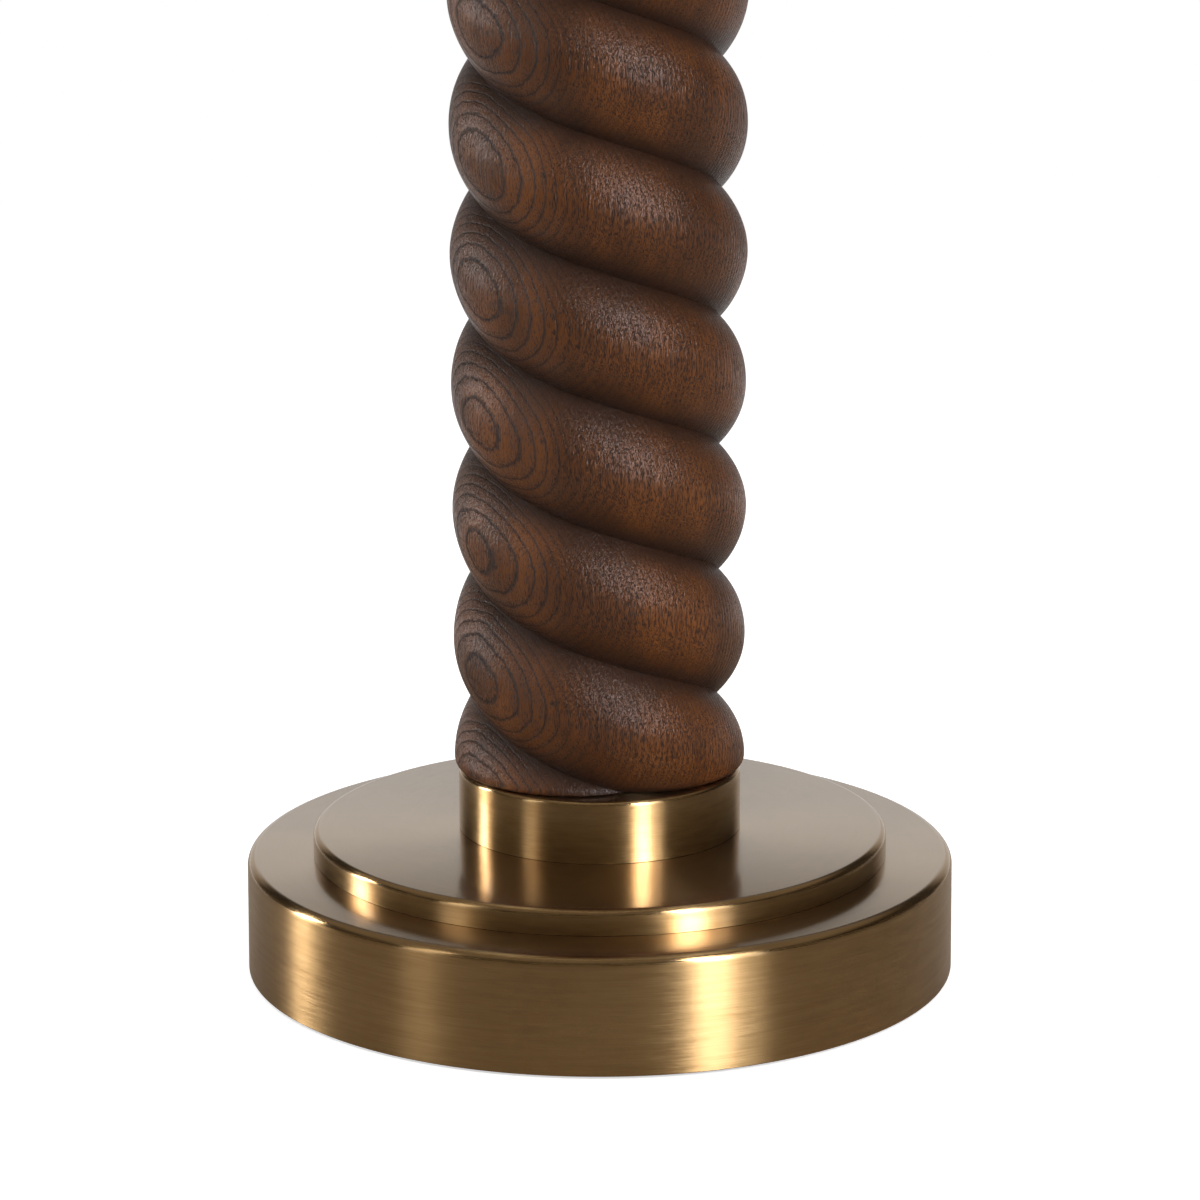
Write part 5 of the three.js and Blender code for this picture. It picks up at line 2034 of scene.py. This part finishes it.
@dataclass(frozen=True)
class Softbox:
    """A flat lamp that faces the foot of the column.

    Its bearing is counted from the front, positive to the right, as the camera sees it. A strip is only
    mirrored by polished surfaces, and a soft lamp only lights matt ones.
    """

    name: str
    bearing: float
    elevation: float
    distance: float
    width: float
    height: float
    radiance: float
    mirrored: bool = True
    colour: Colour = (1.0, 1.0, 1.0)

    def build(self, target: Vector) -> None:
        """Makes the lamp.

        Args:
            target: the point that it faces.
        """
        data = bpy.data.lights.new(self.name, "AREA")
        data.shape = "RECTANGLE"
        data.size, data.size_y = self.width, self.height
        data.energy = self.radiance * self.width * self.height * math.pi
        data.color = self.colour
        lamp = bpy.data.objects.new(self.name, data)
        bearing, elevation = math.radians(self.bearing), math.radians(self.elevation)
        away = Vector(
            (
                math.sin(bearing) * math.cos(elevation),
                -math.cos(bearing) * math.cos(elevation),
                math.sin(elevation),
            )
        )
        lamp.location = target + away * self.distance
        lamp.rotation_mode = "QUATERNION"
        lamp.rotation_quaternion = away.to_track_quat("Z", "Y")
        lamp.visible_camera = False
        lamp.visible_diffuse = not self.mirrored
        lamp.visible_glossy = self.mirrored
        bpy.context.scene.collection.objects.link(lamp)


@dataclass
class Studio:
    """The floor, the surroundings and the lamps.

    The fill is the surroundings' strength on matt surfaces, and each glow is their strength in a mirror:
    low down behind, beside, before and left of the lamp, and high up. Each sky pair is where one glow gives
    way to the next, as the part of the ray's unit direction along that axis.

    The floor is told apart by its reach from the column: near it takes light and shadow, and far off it
    glows plain white. In a mirror it loses a share of its light and glows a little instead, by different
    amounts before and behind the lamp, which the behind pair tells apart in metres.
    """

    aim: float = 0.10
    floor_rings: tuple[float, ...] = (0.0, 0.2, 1.0, 4.0, 14.0)
    floor_segments: int = 96
    floor_drop: float = 0.0004
    floor_thickness: float = 0.01
    fill: float = 0.92
    glow_behind: float = 0.66
    glow_beside: float = 0.04
    glow_before: float = 0.02
    glow_left: float = 0.06
    glow_high: float = 0.25
    glow_colour: Colour = (1.06, 0.92, 0.79)
    sky_behind: tuple[float, float] = (0.72, 0.95)
    sky_before: tuple[float, float] = (-0.9, -0.1)
    sky_left: tuple[float, float] = (-0.95, -0.6)
    sky_low: tuple[float, float] = (0.30, 0.45)
    sky_high: tuple[float, float] = (0.50, 0.70)
    floor_colour: float = 0.72
    floor_near: float = 0.35
    floor_far: float = 1.4
    floor_behind: tuple[float, float] = (0.1, 0.6)
    white_near: float = 0.57
    mirrored_loss_before: float = 0.62
    mirrored_loss_behind: float = 0.35
    mirrored_glow_before: float = 0.03
    mirrored_glow_behind: float = 0.6
    boxes: tuple[Softbox, ...] = (
        Softbox("key_strip", 35.0, 20.0, 1.3, 0.25, 1.0, 20.5, colour=(0.97, 1.0, 1.07)),
        Softbox("key_tail", 45.5, 20.0, 1.3, 0.25, 0.9, 4.2, colour=(0.97, 1.0, 1.07)),
        Softbox("left_strip", -108.0, 13.0, 3.0, 0.44, 1.3, 20.0),
        Softbox("left_faint", -58.0, 20.0, 2.0, 0.4, 1.5, 1.8),
        Softbox("key_soft", 50.0, 30.0, 2.0, 1.0, 1.0, 6.0, mirrored=False),
        Softbox("left_soft", -100.0, 20.0, 2.0, 0.7, 1.2, 4.2, mirrored=False),
    )

    def build(self) -> None:
        """Makes them, and sets the plain view transform."""
        self.build_floor()
        self.build_world()
        for box in self.boxes:
            box.build(Vector((0, 0, self.aim)))
        bpy.context.scene.view_settings.view_transform = "Standard"

    def build_floor(self) -> None:
        """Makes the floor: a pale disc that keeps the shadow near the lamp and is plain white far off."""
        rings = np.array(self.floor_rings)
        flat = rings[:, None, None] * round_section(1.0, self.floor_segments)[None]
        top = np.concatenate([flat, np.zeros((*flat.shape[:2], 1))], -1) - (0, 0, self.floor_drop)
        bottom = top[-1:] - (0, 0, self.floor_thickness)
        middle = bottom * (0, 0, 1)
        floor = grid_piece("floor", np.concatenate([top, bottom, middle]), Ends.POLES)
        material = bpy.data.materials.new("pale_floor")
        material.use_nodes = True
        material.node_tree.nodes.clear()
        graph = Graph(material.node_tree)
        place = graph.node("ShaderNodeTexCoord").outputs["Object"]
        reach = graph.node("ShaderNodeVectorMath", {0: place}, operation="LENGTH").outputs["Value"]
        far = graph.band(reach, self.floor_near, self.floor_far)
        path = graph.node("ShaderNodeLightPath").outputs
        back = graph.node("ShaderNodeSeparateXYZ", {0: place}).outputs["Y"]
        behind = graph.band(back, *self.floor_behind)
        loss = graph.band(behind, 0.0, 1.0, self.mirrored_loss_before, self.mirrored_loss_behind)
        dimmed = graph.math("MULTIPLY", path["Is Glossy Ray"], loss)
        lit_share = graph.math("MULTIPLY", graph.math("SUBTRACT", 1.0, far), self.floor_colour)
        shade = graph.math("MULTIPLY", lit_share, graph.math("SUBTRACT", 1.0, dimmed))
        grey = graph.node("ShaderNodeCombineColor", {0: shade, 1: shade, 2: shade}).outputs[0]
        warmth = graph.math("MULTIPLY", path["Is Glossy Ray"], graph.math("SUBTRACT", 1.0, behind))
        grey = graph.mix(warmth, grey, graph.mix(1.0, grey, self.glow_colour, "MULTIPLY"))
        lit = graph.node("ShaderNodeBsdfDiffuse", {"Color": grey}).outputs[0]
        seen = graph.math("ADD", path["Is Camera Ray"], path["Is Transmission Ray"], clamp=True)
        white = graph.math("MULTIPLY", graph.band(far, 0.0, 1.0, self.white_near, 1.0), seen)
        glint = graph.band(behind, 0.0, 1.0, self.mirrored_glow_before, self.mirrored_glow_behind)
        mirrored = graph.math("MULTIPLY", glint, path["Is Glossy Ray"])
        glow = graph.node("ShaderNodeEmission", {"Strength": graph.math("ADD", white, mirrored)}).outputs[0]
        both = graph.node("ShaderNodeAddShader", {0: lit, 1: glow}).outputs[0]
        graph.node("ShaderNodeOutputMaterial", {"Surface": both})
        floor.data.materials.append(material)

    def build_world(self) -> None:
        """Makes the surroundings: white to the eye, and in a mirror pale low down behind and dim elsewhere.

        The bands read the direction of the ray, as a unit vector.
        """
        world = bpy.data.worlds.new("studio")
        world.use_nodes = True
        world.node_tree.nodes.clear()
        graph = Graph(world.node_tree)
        direction = graph.node("ShaderNodeTexCoord").outputs["Generated"]
        way = graph.node("ShaderNodeSeparateXYZ", {0: direction}).outputs
        around = graph.band(way["Y"], *self.sky_behind, self.glow_beside, self.glow_behind)
        before = graph.band(way["Y"], *self.sky_before, self.glow_before - self.glow_beside, 0.0)
        aside = graph.band(way["X"], *self.sky_left, self.glow_left, 0.0)
        low = graph.math("ADD", graph.math("ADD", around, before), aside)
        dark = graph.band(way["Z"], *self.sky_low, low, self.glow_beside)
        glossy = graph.band(way["Z"], *self.sky_high, dark, self.glow_high)
        path = graph.node("ShaderNodeLightPath").outputs
        seen = graph.math("ADD", path["Is Camera Ray"], path["Is Transmission Ray"], clamp=True)
        soft = graph.node("ShaderNodeMix", {0: path["Is Glossy Ray"], 2: self.fill, 3: glossy}).outputs[0]
        strength = graph.node("ShaderNodeMix", {0: seen, 2: soft, 3: 1.0}).outputs[0]
        dimmest = graph.math("SUBTRACT", 1.0, graph.band(strength, self.glow_beside, self.glow_behind))
        tint = graph.math("MULTIPLY", dimmest, path["Is Glossy Ray"])
        colour = graph.mix(tint, (1.0, 1.0, 1.0), self.glow_colour)
        glow = graph.node("ShaderNodeBackground", {"Color": colour, "Strength": strength}).outputs[0]
        graph.node("ShaderNodeOutputWorld", {"Surface": glow})
        bpy.context.scene.world = world


def main() -> None:
    """Builds the camera, the studio and every sub-assembly in order."""
    logging.basicConfig(level=logging.INFO, format="%(name)s: %(message)s")
    Camera().build()
    Studio().build()
    for part in (Foot(), Column(), Head(), Holder(), TurnKnob(), Bulb(), Harp(), Shade(), Finial()):
        part.build()
        part.dress()
        log.info("%s is done", type(part).__name__)


if __name__ == "__main__":
    main()
